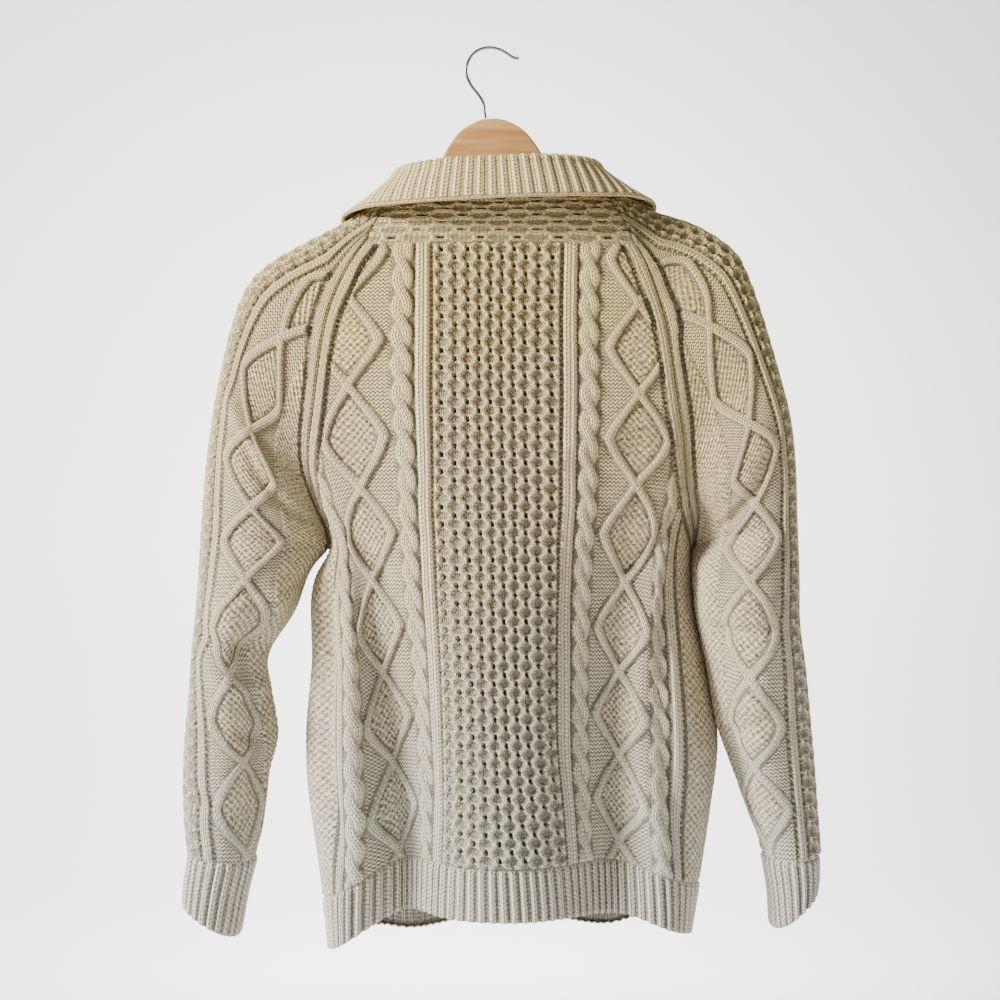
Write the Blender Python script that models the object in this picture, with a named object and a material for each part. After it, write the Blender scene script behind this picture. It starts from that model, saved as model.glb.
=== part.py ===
"""An aran cardigan, hand knitted in cream wool, hanging on the wooden hanger that holds it.

Metres, +Z up, the fronts face -Y and the back faces +Y; the wearer's left is +X. The origin is the
inner crown of the hanger's hook, where a rail carries it. Tables and sizes below are in millimetres.

Each knitted piece is a wall that follows a sheet. A sheet gives the place of a flat coordinate, measured
across the knitting from a middle line, at a height or a length along the piece. Stitches run in wales, so
the wall's outer points stand on lines of wales, raised where the cables, ribs and honeycomb stand proud,
over a plain inner face.
"""

import math

import bmesh
import bpy
import numpy as np

MM = 0.001

# Cloth.
WALL = 3.0                 # thickness of the plain knitting
SEAM_GAP = 0.3             # between two pieces at a seam
INNER_EDGE_IN = 0.9        # how much further the wall's inner face stops short at an edge
RELIEF = 3.0               # how far cables and honeycomb ridges stand proud
CABLE_RELIEF = 2.4         # a cable that is drawn as a plain ridge
TWIST_RELIEF = 2.2
DIAMOND_RELIEF = 2.8
RIB_RELIEF = 2.2

# Stitch layout on a body panel, across from its middle line.
HONEYCOMB_COLUMN = 11.2
HONEYCOMB_ROW = 15.4
CABLE_CROSSING = 30.8
DIAMOND_PITCH = 81.0
DIAMOND_HALF = 27.0
HONEYCOMB_HALF = 56.0
BODY_DIAMOND = 126.0       # middle of the diamond panel
PANEL_HALF = 236.0         # middle line to side seam
# Rows of the plain wale lines and of the inner faces, closer where the cloth bends at the armholes and elbows.
PANEL_ROWS = (40.0, 85.0, 130.0, 175.0, 215.0, 240.0, 262.0, 282.0, 303.0, 325.0, 350.0, 380.0, 415.0, 460.0, 505.0)
SLEEVE_ROWS = (95.0, 135.0, 168.0, 194.0, 217.0, 240.0, 262.0, 284.0, 308.0, 334.0, 360.0, 388.0, 422.0, 460.0,
               500.0, 545.0, 590.0, 640.0, 690.0)
FRONT_ROWS = PANEL_ROWS[1::2]
ENDS_ONLY = ()
SEAM_STEP = 9.0            # between points of a seam that runs steeply

# Welts.
HEM_RIB = 47.0
HEM_RIB_PITCH = 8.7
BAND_HALF = 17.0
BAND_RELIEF = 1.2
BAND_LIFT = WALL + BAND_RELIEF + 0.5
CUFF_RELIEF = 1.7
COLLAR_RIB_PITCH = 11.6
COLLAR_RELIEF = 2.4
SLEEVE_MARGIN = 1.5        # the sleeves stop this far short of their seams
SLEEVE_INNER_IN = 2.2      # and their inner faces this much further
COLLAR_COVER = 62.0        # length of a sleeve's top under the collar
COLLAR_SHIFT = -4.0        # the garment sits a little off the hanger's middle
NECK_STRIP_LENGTH = 212.0
NECK_STRIP_WIDTH = 54.0
NECK_CELL = 8.75           # half the width of a cell of the sideways honeycomb
STRIP_END_GAP = 1.5
STRIP_TOP_FLAT = 8.0       # the strip's top corner, from the sleeve's shoulder line
SLEEVE_DIAMOND = 68.0      # middle of the sleeve's diamonds

# Hanger.
HANGER_TILT = math.radians(2.4)
WOOD_THICKNESS = 13.0
WOOD_ROUNDING = 2.4
WIRE = 2.8

# The body's ring at each height: flat coordinates of its knots, from the middle of the back round the
# wearer's left side to the middle of the front, and back along the right side.
RING_FLAT = (0.0, HONEYCOMB_HALF, 115.0, 168.0, PANEL_HALF)
RING_LENGTH = 4 * PANEL_HALF

BACK_MIDDLE_COLUMNS = ("z", "x", "y")
BACK_MIDDLE = (
    (-180, -9, 43), (-260, -8, 57), (-330, -8, 66), (-384, -9, 72), (-459, -10, 78),
    (-571, -11, 84), (-640, -13, 85), (-710, -16, 86), (-790, -20, 84), (-840, -21, 82),
)
# Left side of the back: honeycomb edge, middle of the diamonds, outer cable, side seam.
BACK_COLUMNS = ("z", "edge_x", "edge_y", "diamond_x", "diamond_y", "cable_x", "cable_y", "side_x", "side_y")
BACK_LEFT = (
    (-180, 48, 42, 119, 36, 158, 20, 205, -24),
    (-260, 47, 55, 125, 49, 163, 38, 214, -6),
    (-330, 47, 64, 122, 56, 161, 48, 212, 0),
    (-384, 46, 69, 115, 57, 155, 48, 178, -6),
    (-421, 46, 71, 110, 56, 143, 47, 154, -6),
    (-459, 44, 72, 105, 54, 129, 50, 142, 0),
    (-490, 43, 72, 102, 52, 128, 51, 159, -2),
    (-571, 39, 73, 93, 47, 121, 58, 161, -2),
    (-640, 37, 72, 86, 43, 119, 60, 166, -2),
    (-710, 37, 70, 80, 40, 119, 62, 162, -2),
    (-790, 40, 66, 79, 38, 121, 61, 150, -2),
    (-840, 41, 64, 80, 38, 121, 60, 143, -2),
)
BACK_RIGHT = (
    (-180, -66, 42, -138, 36, -178, 20, -225, -24),
    (-260, -64, 55, -135, 49, -175, 40, -227, -2),
    (-330, -64, 64, -135, 56, -175, 49, -228, 4),
    (-384, -63, 69, -133, 58, -173, 48, -204, -4),
    (-421, -63, 71, -131, 58, -167, 48, -195, -5),
    (-459, -61, 72, -126, 56, -158, 52, -188, 0),
    (-490, -61, 72, -123, 54, -156, 53, -189, -2),
    (-571, -61, 73, -118, 50, -155, 58, -203, -2),
    (-640, -62, 72, -118, 46, -156, 61, -214, -2),
    (-710, -67, 71, -118, 45, -156, 62, -206, -2),
    (-790, -73, 68, -120, 50, -160, 60, -192, -2),
    (-840, -74, 66, -120, 50, -160, 58, -182, -2),
)
# Fronts, hidden in the photograph: depths at the same columns, on both sides.
FRONT_COLUMNS = ("z", "middle_y", "edge_y", "diamond_y", "cable_y")
FRONT = (
    (-180, -40, -38, -30, -22), (-260, -54, -51, -44, -38), (-330, -62, -60, -52, -46),
    (-384, -67, -64, -54, -48), (-459, -72, -68, -54, -50), (-571, -77, -71, -54, -56),
    (-640, -79, -72, -50, -58), (-710, -80, -72, -48, -60), (-840, -80, -72, -46, -58),
)
FRONT_SHARE = (0.0, 0.29, 0.57, 0.78)   # of the way from the middle line out to the side
# Lower edge at the ring's knots: back middle, edge, diamond, cable, side, then the same on the front.
HEM_LEFT = (-788, -788, -790, -810, -833, -832, -831, -830, -829)
HEM_RIGHT = (-788, -788, -789, -801, -819, -823, -827, -829, -829)

# Where the raglan seam cuts the back: flat coordinate of the seam at each height.
RAGLAN_COLUMNS = ("z", "left", "right")
RAGLAN = (
    (-187, 107, 111), (-203, 116, 121), (-230, 129, 135), (-255, 139, 147), (-285, 148, 155),
    (-320, 157, 161), (-350, 165, 167), (-384, 176, 174), (-405, 187, 183), (-425, 202, 198),
    (-442, 220, 218), (-459, PANEL_HALF, PANEL_HALF),
)
YOKE_TOP = -187.0
UNDERARM = -459.0
NECK_BACK_TOP = -141.0
NECK_FRONT_Z = -213.0

# Sleeve sections above the underarm: a point on the shoulder line and the height of its seam point.
YOKE_COLUMNS = ("top_x", "top_y", "top_z", "seam_z", "fall")
YOKE_LEFT = (
    (83, 0, -135, -187, 20), (136, 1, -167, -206, 27), (168, 2, -184, -233, 36),
    (199, 3, -202, -269, 45), (214, 3, -215, -296, 50), (226, 3, -236, -328, 54),
    (234, 4, -262, -357, 58), (242, 4, -296, -384, 61), (252, 4, -350, -421, 66),
    (258, 4, -400, -442, 70), (262, 4, -452, -459, 72),
)
YOKE_RIGHT = (
    (-105, 0, -131, -187, 20), (-153, 1, -154, -206, 27), (-193, 2, -168, -228, 35),
    (-213, 3, -180, -245, 41), (-228, 4, -193, -277, 46), (-240, 5, -217, -306, 51),
    (-249, 6, -243, -340, 55), (-256, 8, -268, -370, 58), (-265, 11, -303, -401, 62),
    (-275, 13, -345, -425, 66), (-279, 15, -386, -442, 69), (-280, 17, -433, -459, 72),
)
# Sleeve sections below the underarm: outer and inner edge, the depth of their line, half the depth across.
ARM_COLUMNS = ("top_x", "top_z", "inner_x", "inner_z", "middle_y", "half")
ARM_LEFT = (
    (264, -494, 166, -487, 5, 54), (266, -526, 179, -522, 7, 54), (269, -559, 203, -561, 8, 52),
    (271, -592, 203, -592, 8, 49), (275, -626, 197, -632, 7, 47), (278, -675, 203, -671, 6, 44),
    (277, -714, 209, -719, 6, 41), (275, -743, 214, -749, 7, 37), (278, -766, 221, -777, 8, 34),
    (280, -789, 229, -820, 8, 33),
)
ARM_RIGHT = (
    (-281, -489, -188, -488, 22, 54), (-280, -531, -191, -527, 30, 52), (-286, -571, -200, -565, 27, 48),
    (-292, -619, -210, -622, 21, 45), (-297, -661, -224, -661, 15, 42), (-301, -706, -240, -703, 11, 39),
    (-304, -744, -254, -746, 9, 36), (-304, -763, -259, -773, 9, 34), (-302, -777, -262, -812, 9, 33),
)
CUFF_ROWS = 2              # the last sections of a sleeve are its cuff
SLEEVE_TAPER = 106.0       # half the knitting's width round the wrist, above the cuff
YOKE_GROWTH = 0.02         # least growth of the half width down the yoke

# Collar, before the hanger's tilt: neck seam, fold and outer edge from the middle of the back (0) to the
# front end (1).
COLLAR_COLUMNS = ("along", "seam_x", "seam_y", "seam_z", "fold_x", "fold_y", "fold_z", "edge_x", "edge_y", "edge_z")
COLLAR = (
    (0.00, 0, 38, -139, 0, 49, -115, 0, 72, -154),
    (0.16, 40, 35, -138, 44, 45, -114, 52, 69, -154),
    (0.30, 68, 23, -134, 74, 30, -114, 92, 59, -153),
    (0.42, 84, 5, -131, 87, 8, -114, 124, 40, -151),
    (0.54, 84, -16, -136, 87, -18, -119, 146, 8, -153),
    (0.66, 72, -36, -150, 78, -44, -134, 142, -34, -165),
    (0.80, 50, -52, -172, 55, -64, -155, 110, -72, -205),
    (0.92, 24, -61, -189, 28, -76, -172, 78, -94, -232),
    (1.00, 6, -64, -197, 9, -81, -181, 54, -104, -244),
)
FOLD_HALF = 6.5            # half the thickness of the folded collar at its fold
COLLAR_ROW_RELIEF = (0.25, 1.0, 0.9, 0.4, 0.1, 0.0)   # from the outer edge over the fold to the neck seam
COLLAR_INNER_LINES = 25

# Hanger wood before its tilt: the upper edge of one arm, then the lower edge back to the middle.
WOOD_OUTLINE = (
    (0, -66), (6, -66), (16, -69), (28, -76), (38, -87), (46, -100), (57, -116), (72, -129),
    (90, -139), (112, -150), (145, -170), (181, -189), (203, -203), (210, -210), (211, -217), (204, -222),
    (181, -213), (145, -196), (110, -178), (70, -158), (35, -143), (0, -137),
)
# Hook wire in the picture's plane, from its foot on the wood up the shank and over the crown to the tip.
HOOK_LINE = (
    (2.0, -64.2), (2.9, -57.1), (3.9, -50.3), (7.6, -43.7), (14.1, -35.4), (19.0, -25.5), (20.0, -19.0),
    (17.4, -10.2), (10.2, -1.9), (0.0, 1.4), (-8.0, 0.6), (-14.1, -1.7), (-18.5, -4.4), (-23.0, -7.4), (-29.1, -9.0),
)
HOOK_POINTS = 21
HOOK_SIDES = 7

BUTTONS = 5
BUTTON_RADIUS = 11.0
BUTTON_THICKNESS = 3.6
BUTTON_SIDES = 10

WOOL = (0.69, 0.61, 0.45)
SHADES = {
    "body": (WOOL, 0.9, 0.0),
    "rib": ((0.66, 0.57, 0.42), 0.92, 0.0),
    "button": ((0.16, 0.08, 0.04), 0.45, 0.0),
    "beech": ((0.55, 0.33, 0.16), 0.5, 0.0),
    "steel": ((0.55, 0.56, 0.57), 0.28, 1.0),
}


def column(columns, rows, name):
    return np.array([row[columns.index(name)] for row in rows], float)


def smooth(keys, values, at):
    """Cubic curve through values at rising or falling keys, held straight beyond its ends."""
    keys = np.asarray(keys, float)
    values = np.asarray(values, float)
    if keys[0] > keys[-1]:
        keys, values = keys[::-1], values[::-1]
    at = np.clip(np.asarray(at, float), keys[0], keys[-1])
    slopes = np.gradient(values, keys, axis=0)
    i = np.clip(np.searchsorted(keys, at) - 1, 0, len(keys) - 2)
    step = keys[i + 1] - keys[i]
    t = (at - keys[i]) / step
    if values.ndim > 1:
        t, step = t[..., None], step[..., None]
    ahead = t * t * (3 - 2 * t)
    return (values[i] * (1 - ahead) + values[i + 1] * ahead
            + step * (slopes[i] * t * (1 - t) ** 2 - slopes[i + 1] * t * t * (1 - t)))


def unit(vectors):
    return vectors / np.maximum(np.linalg.norm(vectors, axis=-1, keepdims=True), 1e-9)


def tilt(points):
    """Turns points about the hook's crown by the hanger's tilt, the wearer's left side down."""
    points = np.asarray(points, float)
    turned = points.copy()
    turned[..., 0] = points[..., 0] * math.cos(HANGER_TILT) + points[..., 2] * math.sin(HANGER_TILT)
    turned[..., 2] = points[..., 2] * math.cos(HANGER_TILT) - points[..., 0] * math.sin(HANGER_TILT)
    return turned


class Sheet:
    """A smooth surface sampled on a regular net: place and outward normal at (across, along)."""

    def __init__(self, across, along, points, outward):
        self.across, self.along = across, along
        self.points = points
        du = np.gradient(points, across, axis=1)
        dv = np.gradient(points, along, axis=0)
        normals = unit(np.cross(du, dv))
        self.normals = normals * np.sign(np.sum(normals * outward))

    def read(self, net, across, along):
        i = np.clip(np.searchsorted(self.across, across) - 1, 0, len(self.across) - 2)
        j = np.clip(np.searchsorted(self.along, along) - 1, 0, len(self.along) - 2)
        s = (across - self.across[i]) / (self.across[i + 1] - self.across[i])
        t = (along - self.along[j]) / (self.along[j + 1] - self.along[j])
        s, t = s[:, None], t[:, None]
        return ((net[j, i] * (1 - s) + net[j, i + 1] * s) * (1 - t)
                + (net[j + 1, i] * (1 - s) + net[j + 1, i + 1] * s) * t)

    def at(self, across, along, out=0.0):
        across, along = np.atleast_1d(across).astype(float), np.atleast_1d(along).astype(float)
        normals = unit(self.read(self.normals, across, along))
        return self.read(self.points, across, along) + normals * np.reshape(out, (-1, 1))


# ---------------------------------------------------------------------------------------------- body

def ring_knots(z):
    """The ring's knots at heights z: flat coordinates, and places x, y and the hem's height."""
    middle_x = smooth(column(BACK_MIDDLE_COLUMNS, BACK_MIDDLE, "z"), column(BACK_MIDDLE_COLUMNS, BACK_MIDDLE, "x"), z)
    middle_y = smooth(column(BACK_MIDDLE_COLUMNS, BACK_MIDDLE, "z"), column(BACK_MIDDLE_COLUMNS, BACK_MIDDLE, "y"), z)
    sides = []
    for rows in (BACK_LEFT, BACK_RIGHT):
        heights = column(BACK_COLUMNS, rows, "z")
        sides.append({name: smooth(heights, column(BACK_COLUMNS, rows, name), z) for name in BACK_COLUMNS[1:]})
    heights = column(FRONT_COLUMNS, FRONT, "z")
    front = {name: smooth(heights, column(FRONT_COLUMNS, FRONT, name), z) for name in FRONT_COLUMNS[1:]}
    flats, xs, ys, hems = [], [], [], []
    for side, hem, sign in ((sides[0], HEM_LEFT, 1), (sides[1], HEM_RIGHT, -1)):
        x = [middle_x] + [side[name + "_x"] for name in ("edge", "diamond", "cable", "side")]
        y = [middle_y] + [side[name + "_y"] for name in ("edge", "diamond", "cable", "side")]
        for share, name in zip(FRONT_SHARE[::-1], ("cable_y", "diamond_y", "edge_y", "middle_y")):
            x.append(middle_x + (side["side_x"] - middle_x) * share)
            y.append(front[name])
        flat = [sign * f for f in RING_FLAT] + [sign * (2 * PANEL_HALF - f) for f in RING_FLAT[-2::-1]]
        last = len(x) if sign > 0 else len(x) - 1
        first = 0 if sign > 0 else 1
        order = range(first, last) if sign > 0 else range(last - 1, first - 1, -1)
        for k in order:
            flats.append(flat[k] % RING_LENGTH)
            xs.append(x[k])
            ys.append(y[k])
            hems.append(np.full_like(middle_x, hem[k]))
    return np.array(flats), np.stack([np.array(xs), np.array(ys), np.array(hems)], axis=-1)


def closed_spline(keys, values, length, at):
    """Periodic cubic spline through values (knots first), read at flat coordinates."""
    n = len(keys)
    step = np.roll(keys, -1) - keys
    step[-1] += length
    before = np.roll(step, 1)
    matrix = np.zeros((n, n))
    for k in range(n):
        matrix[k, k - 1] += before[k]
        matrix[k, k] += 2 * (before[k] + step[k])
        matrix[k, (k + 1) % n] += step[k]
    shape = (n,) + (1,) * (values.ndim - 1)
    slope = (np.roll(values, -1, axis=0) - values) / step.reshape(shape)
    bend = np.linalg.solve(matrix, (6 * (slope - np.roll(slope, 1, axis=0))).reshape(n, -1)).reshape(values.shape)
    at = np.asarray(at, float) % length
    i = np.searchsorted(keys, at, side="right") - 1
    j = (i + 1) % n
    h = step[i].reshape((-1,) + shape[1:])
    t = ((at - keys[i]) / step[i]).reshape((-1,) + shape[1:])
    return (values[i] * (1 - t) + values[j] * t
            + h * h / 6 * (((1 - t) ** 3 - (1 - t)) * bend[i] + (t ** 3 - t) * bend[j]))


def body_net():
    z = np.arange(-844.0, -130.0, 4.0)
    flats, knots = ring_knots(z)
    across = np.linspace(-PANEL_HALF * 2, PANEL_HALF * 2, 237)
    net = closed_spline(flats, knots, RING_LENGTH, across)
    points = np.stack([net[..., 0], net[..., 1], np.broadcast_to(z, net.shape[:2])], axis=-1)
    middle = np.stack([net[..., 0].mean(axis=0), net[..., 1].mean(axis=0), z], axis=-1)
    return across, z, points.transpose(1, 0, 2), (points - middle).transpose(1, 0, 2)


BODY = Sheet(*body_net())


def hem_table():
    flats, knots = ring_knots(np.array([-800.0]))
    across = np.linspace(-2 * PANEL_HALF, 2 * PANEL_HALF, 473)
    return across, closed_spline(flats, knots, RING_LENGTH, across)[:, 0, 2]


HEM_AT, HEM_Z = hem_table()


def hem_height(across):
    return np.interp(np.atleast_1d(across), HEM_AT, HEM_Z)


class Panel:
    """A body panel: flat coordinates across, rows counted in millimetres up from the top of its welt."""

    def __init__(self, top, length):
        self.top, self.length = top, length

    def height(self, across, rows):
        foot = hem_height(across) + HEM_RIB
        return foot + (self.top - foot) * np.asarray(rows, float) / self.length

    def rows(self, across, z):
        foot = hem_height(across) + HEM_RIB
        return (np.asarray(z, float) - foot) / (self.top - foot) * self.length


PANEL = Panel(YOKE_TOP, 554.0)


def raglan_table(name):
    """The raglan seam as a dense curve: heights falling, flat distances rising."""
    heights = column(RAGLAN_COLUMNS, RAGLAN, "z")
    dense = np.linspace(heights[0], heights[-1], 137)
    flats = smooth(heights, column(RAGLAN_COLUMNS, RAGLAN, name), dense)
    return dense, np.maximum.accumulate(flats) + np.arange(len(dense)) * 1e-6


RAGLAN_CURVES = {1: raglan_table("left"), -1: raglan_table("right")}


def raglan_height(flat, side):
    """Height at which the raglan seam reaches a flat distance from the panel's middle line."""
    heights, flats = RAGLAN_CURVES[side]
    return np.interp(flat, flats, heights)


def raglan_flat(z, side):
    heights, flats = RAGLAN_CURVES[side]
    return np.interp(-np.asarray(z, float), -heights, flats)


# ------------------------------------------------------------------------------------------- sleeves

def yoke_section(side, row):
    """Bezier corners of a section above the underarm: its ends lie on the raglan seams."""
    top_x, top_y, top_z, seam_z, fall = row
    top = np.array([top_x, top_y, top_z], float)
    tuck = np.clip((-seam_z - 330.0) / (-UNDERARM - 330.0), 0, 1) ** 1.5
    halves = []
    for face in (1, -1):
        flat = side * float(raglan_flat(seam_z, side))
        if face < 0:
            flat = side * 2 * PANEL_HALF - flat
        end = BODY.at(flat, seam_z)[0]
        normal = BODY.read(BODY.normals, np.array([flat]), np.array([float(seam_z)]))[0]
        normal = unit(normal)
        back = top - end
        lean = unit(back - normal * np.dot(back, normal))
        lean = unit(lean * (1 - tuck) + np.array([0.25 * side, face, 0.0]) * tuck)
        reach = np.linalg.norm(back) * (0.32 + 0.2 * tuck)
        halves.append([top, top + np.array([0, face * fall, 0]), end + lean * reach, end])
    return halves


def arm_section(row):
    """Bezier corners of a section below the underarm, a plain flattened ring."""
    top_x, top_z, inner_x, inner_z, middle_y, half = row
    top = np.array([top_x, middle_y, top_z], float)
    end = np.array([inner_x, middle_y, inner_z], float)
    halves = []
    for face in (1, -1):
        pull = np.array([0, face * half / 0.75, 0])
        halves.append([top, top + pull, end + pull, end])
    return halves


def sleeve_sections(side):
    """Distances along the shoulder line and the sections there, closely spaced on the yoke."""
    yoke, arm = (YOKE_LEFT, ARM_LEFT) if side > 0 else (YOKE_RIGHT, ARM_RIGHT)
    tops = np.array([row[:3] for row in yoke] + [(row[0], row[4], row[1]) for row in arm], float)
    steps = np.linalg.norm(np.diff(tops, axis=0), axis=1)
    steps[-1] = max(steps[-1], 32.0)
    stations = np.concatenate([[0], np.cumsum(steps)])
    yoke_stations = stations[:len(yoke)]
    dense = np.linspace(0, yoke_stations[-1], 90)
    rows = smooth(yoke_stations, np.array(yoke, float), dense)
    rows[:, 3] = np.minimum.accumulate(rows[:, 3])
    sections = [yoke_section(side, row) for row in rows] + [arm_section(row) for row in arm]
    return np.concatenate([dense, stations[len(yoke):]]), np.array(sections), yoke_stations[-1]


class Sleeve:
    """A sleeve and its cuff as one sheet: along runs from the cuff's edge (0) up to the neck."""

    def __init__(self, side):
        self.side = side
        stations, corners, underarm = sleeve_sections(side)
        self.length = stations[-1]
        self.underarm = self.length - underarm
        stations = self.length - stations
        self.cuff_top = stations[-1 - CUFF_ROWS]
        along = np.linspace(0, self.length, 241)
        # The yoke and the arm are read apart, because the sleeve's edges meet only from the underarm down.
        turn = len(corners) - len(ARM_LEFT if side > 0 else ARM_RIGHT)
        flat_corners = corners.reshape(len(corners), -1)
        arm_part = smooth(stations[turn - 1:], flat_corners[turn - 1:], along)
        yoke_part = smooth(stations[:turn], flat_corners[:turn], along)
        dense = np.where((along > self.underarm)[:, None], yoke_part, arm_part).reshape((-1,) + corners.shape[1:])
        t = np.linspace(0, 1, 65)[None, :, None]
        halves = []
        lengths = []
        for half in (0, 1):
            a, b, c, d = (dense[:, half, k][:, None] for k in range(4))
            curve = a * (1 - t) ** 3 + 3 * b * t * (1 - t) ** 2 + 3 * c * t * t * (1 - t) + d * t ** 3
            run = np.concatenate([np.zeros((len(along), 1)),
                                  np.cumsum(np.linalg.norm(np.diff(curve, axis=1), axis=2), axis=1)], axis=1)
            halves.append(curve)
            lengths.append(run)
        # Half the knitting's width: it grows down the yoke to the underarm, then tapers to the wrist.
        widths = (lengths[0][:, -1] + lengths[1][:, -1]) / 2
        yoke = along > self.underarm
        grown = np.maximum.accumulate(widths[yoke][::-1])[::-1]
        grown += (self.length - along[yoke]) * YOKE_GROWTH
        self.widest = grown[0] + 0.01
        taper = (along - self.cuff_top) / (self.underarm - self.cuff_top)
        self.half_width = np.maximum(SLEEVE_TAPER + (self.widest - SLEEVE_TAPER) * taper, SLEEVE_TAPER - 8.0)
        self.half_width[yoke] = grown
        self.along = along
        across = np.linspace(-self.widest, self.widest, 121)
        points = np.zeros((len(along), len(across), 3))
        for row in range(len(along)):
            for half, face in ((0, 1), (1, -1)):
                run = lengths[half][row] / lengths[half][row, -1] * self.half_width[row]
                chosen = across * face >= 0
                flat = np.abs(across[chosen])
                for axis in range(3):
                    points[row, chosen, axis] = np.interp(flat, run, halves[half][row, :, axis])
                over = flat > self.half_width[row]
                if over.any():
                    heading = unit(halves[half][row, -1] - halves[half][row, -3])
                    extra = (flat[over] - self.half_width[row])[:, None] * heading
                    chosen_index = np.flatnonzero(chosen)[over]
                    points[row, chosen_index] = halves[half][row, -1] + extra
        middle = (dense[:, 0, 0] + dense[:, 0, 3] + dense[:, 1, 3]) / 3
        self.sheet = Sheet(across, along, points, points - middle[:, None])

    def width_at(self, along):
        return np.interp(along, self.along, self.half_width)

    def reach(self, flat):
        """The lowest and highest place along the sleeve that a wale at this flat distance gets to."""
        flat = min(abs(flat), self.widest - 0.2)
        lower = self.along <= self.underarm
        upper = ~lower
        low = np.interp(flat, self.half_width[lower], self.along[lower], left=self.cuff_top)
        high = np.interp(-flat, -self.half_width[upper], self.along[upper], right=self.length)
        return max(low, self.cuff_top), high


SLEEVES = {1: Sleeve(1), -1: Sleeve(-1)}


# --------------------------------------------------------------------------------------- wall making

def steps_between(low, high, step):
    """Rows from low to high with the ends themselves: the multiples of a step, or the rows of a list."""
    if isinstance(step, tuple):
        near = 6.0
        inner = step
    else:
        near = 0.35 * step
        inner = np.arange(math.ceil(low / step) * step, high, step)
    return [low] + [float(value) for value in inner if low + near < value < high - near] + [high]


EDGE_TURNS = np.radians(np.linspace(-90, 90, 13))


class Wales:
    """The wale lines of one face of a wall: each line is a list of (across, along)."""

    def __init__(self, domain, margin, kinks=()):
        self.domain, self.margin = domain, margin
        self.kinks = [math.copysign(abs(kink) - margin, kink) for kink in kinks]
        self.keys, self.params, self.heights = {}, [], []
        self.faces = []
        self.reached = {}

    def vertex(self, across, along, height):
        key = (round(across, 3), round(along, 3))
        if key not in self.keys:
            self.keys[key] = len(self.params)
            self.params.append((across, along))
            self.heights.append(height)
        return self.keys[key]

    def reach(self, across):
        """The piece's lower and upper limit at a wale, the margin in from its true edge all round."""
        if across not in self.reached:
            spans = [self.domain(across + self.margin * math.sin(turn)) for turn in EDGE_TURNS]
            drops = [self.margin * math.cos(turn) for turn in EDGE_TURNS]
            low = max(span[0] + drop for span, drop in zip(spans, drops))
            high = min(span[1] - drop for span, drop in zip(spans, drops))
            self.reached[across] = (low, high)
        return self.reached[across]

    def line(self, across, step, relief):
        low, high = self.reach(across)
        return [self.vertex(across, v, relief(across, v)) for v in steps_between(low, high, step)]

    def seam_points(self, from_across, to_across, end):
        """Points of the piece's edge between two wale lines, where the seam runs steeply."""
        ends = self.reach(from_across)[end], self.reach(to_across)[end]
        pieces = max(1, int(math.ceil(abs(ends[0] - ends[1]) / SEAM_STEP)))
        spots = [from_across + (to_across - from_across) * k / pieces for k in range(1, pieces)]
        low, high = sorted((from_across, to_across))
        kinks = [kink for kink in self.kinks if low + 0.7 < kink < high - 0.7]
        spots = [spot for spot in spots if all(abs(spot - kink) > 1.5 for kink in kinks)] + kinks
        spots.sort(reverse=bool(from_across > to_across))
        return [self.vertex(across, self.reach(across)[end], 0.0) for across in spots]

    def fill(self, left, right):
        """Triangles between two lines that rise together; they may share their end points."""
        i = j = 0
        along = [v[1] for v in self.params]
        while i < len(left) - 1 or j < len(right) - 1:
            if i == len(left) - 1:
                step_left = False
            elif j == len(right) - 1:
                step_left = True
            else:
                a, b = along[left[i + 1]], along[right[j + 1]]
                if abs(a - b) > 1.0:
                    step_left = a < b
                else:
                    rise = self.heights[left[i + 1]] + self.heights[right[j]]
                    fall = self.heights[left[i]] + self.heights[right[j + 1]]
                    step_left = rise > fall
            if step_left:
                face = (left[i], right[j], left[i + 1])
                i += 1
            else:
                face = (left[i], right[j], right[j + 1])
                j += 1
            if len(set(face)) == 3:
                self.faces.append(face)

    def join(self, places, lines):
        """Fills the strips between neighbouring lines, following the seam past a shorter line's ends."""
        for (left_at, left), (right_at, right) in zip(zip(places, lines), zip(places[1:], lines[1:])):
            left, right = list(left), list(right)
            for end in (0, 1):
                left_end, right_end = self.reach(left_at)[end], self.reach(right_at)[end]
                seam = self.seam_points(left_at, right_at, end)
                if not seam:
                    continue
                shorter_is_right = (left_end > right_end) == (end == 1)
                if shorter_is_right:
                    extra = seam[::-1] + [left[-1 if end else 0]]
                    right = right + extra if end else extra[::-1] + right
                else:
                    extra = seam + [right[-1 if end else 0]]
                    left = left + extra if end else extra[::-1] + left
            self.fill(left, right)


def rim_of(faces):
    """The single closed loop of edges that bound a face set, in the faces' own sense."""
    used = set()
    for face in faces:
        for k in range(3):
            used.add((face[k], face[(k + 1) % 3]))
    follow = {a: b for a, b in used if (b, a) not in used}
    start = min(follow)
    loop = [start]
    while follow[loop[-1]] != start:
        loop.append(follow[loop[-1]])
    if len(loop) != len(follow):
        raise ValueError("the piece has more than one edge loop")
    return loop


def split_at_corners(loop, params, corners):
    """The loop cut into its runs between the points nearest to each corner, in the loop's order."""
    params = np.array([params[k] for k in loop])
    marks = sorted({int(np.argmin(np.sum((params - corner) ** 2, axis=1))) for corner in np.array(corners)})
    turned = loop[marks[0]:] + loop[:marks[0]]
    marks = [mark - marks[0] for mark in marks] + [len(loop)]
    turned.append(turned[0])
    return [turned[a:b + 1] for a, b in zip(marks, marks[1:])]


def start_run(runs, params, corner):
    """The runs turned so that the first begins at the run start nearest to a corner."""
    nearest = min(range(len(runs)), key=lambda k: float(np.sum((np.array(params[runs[k][0]]) - corner) ** 2)))
    return runs[nearest:] + runs[:nearest]


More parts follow.
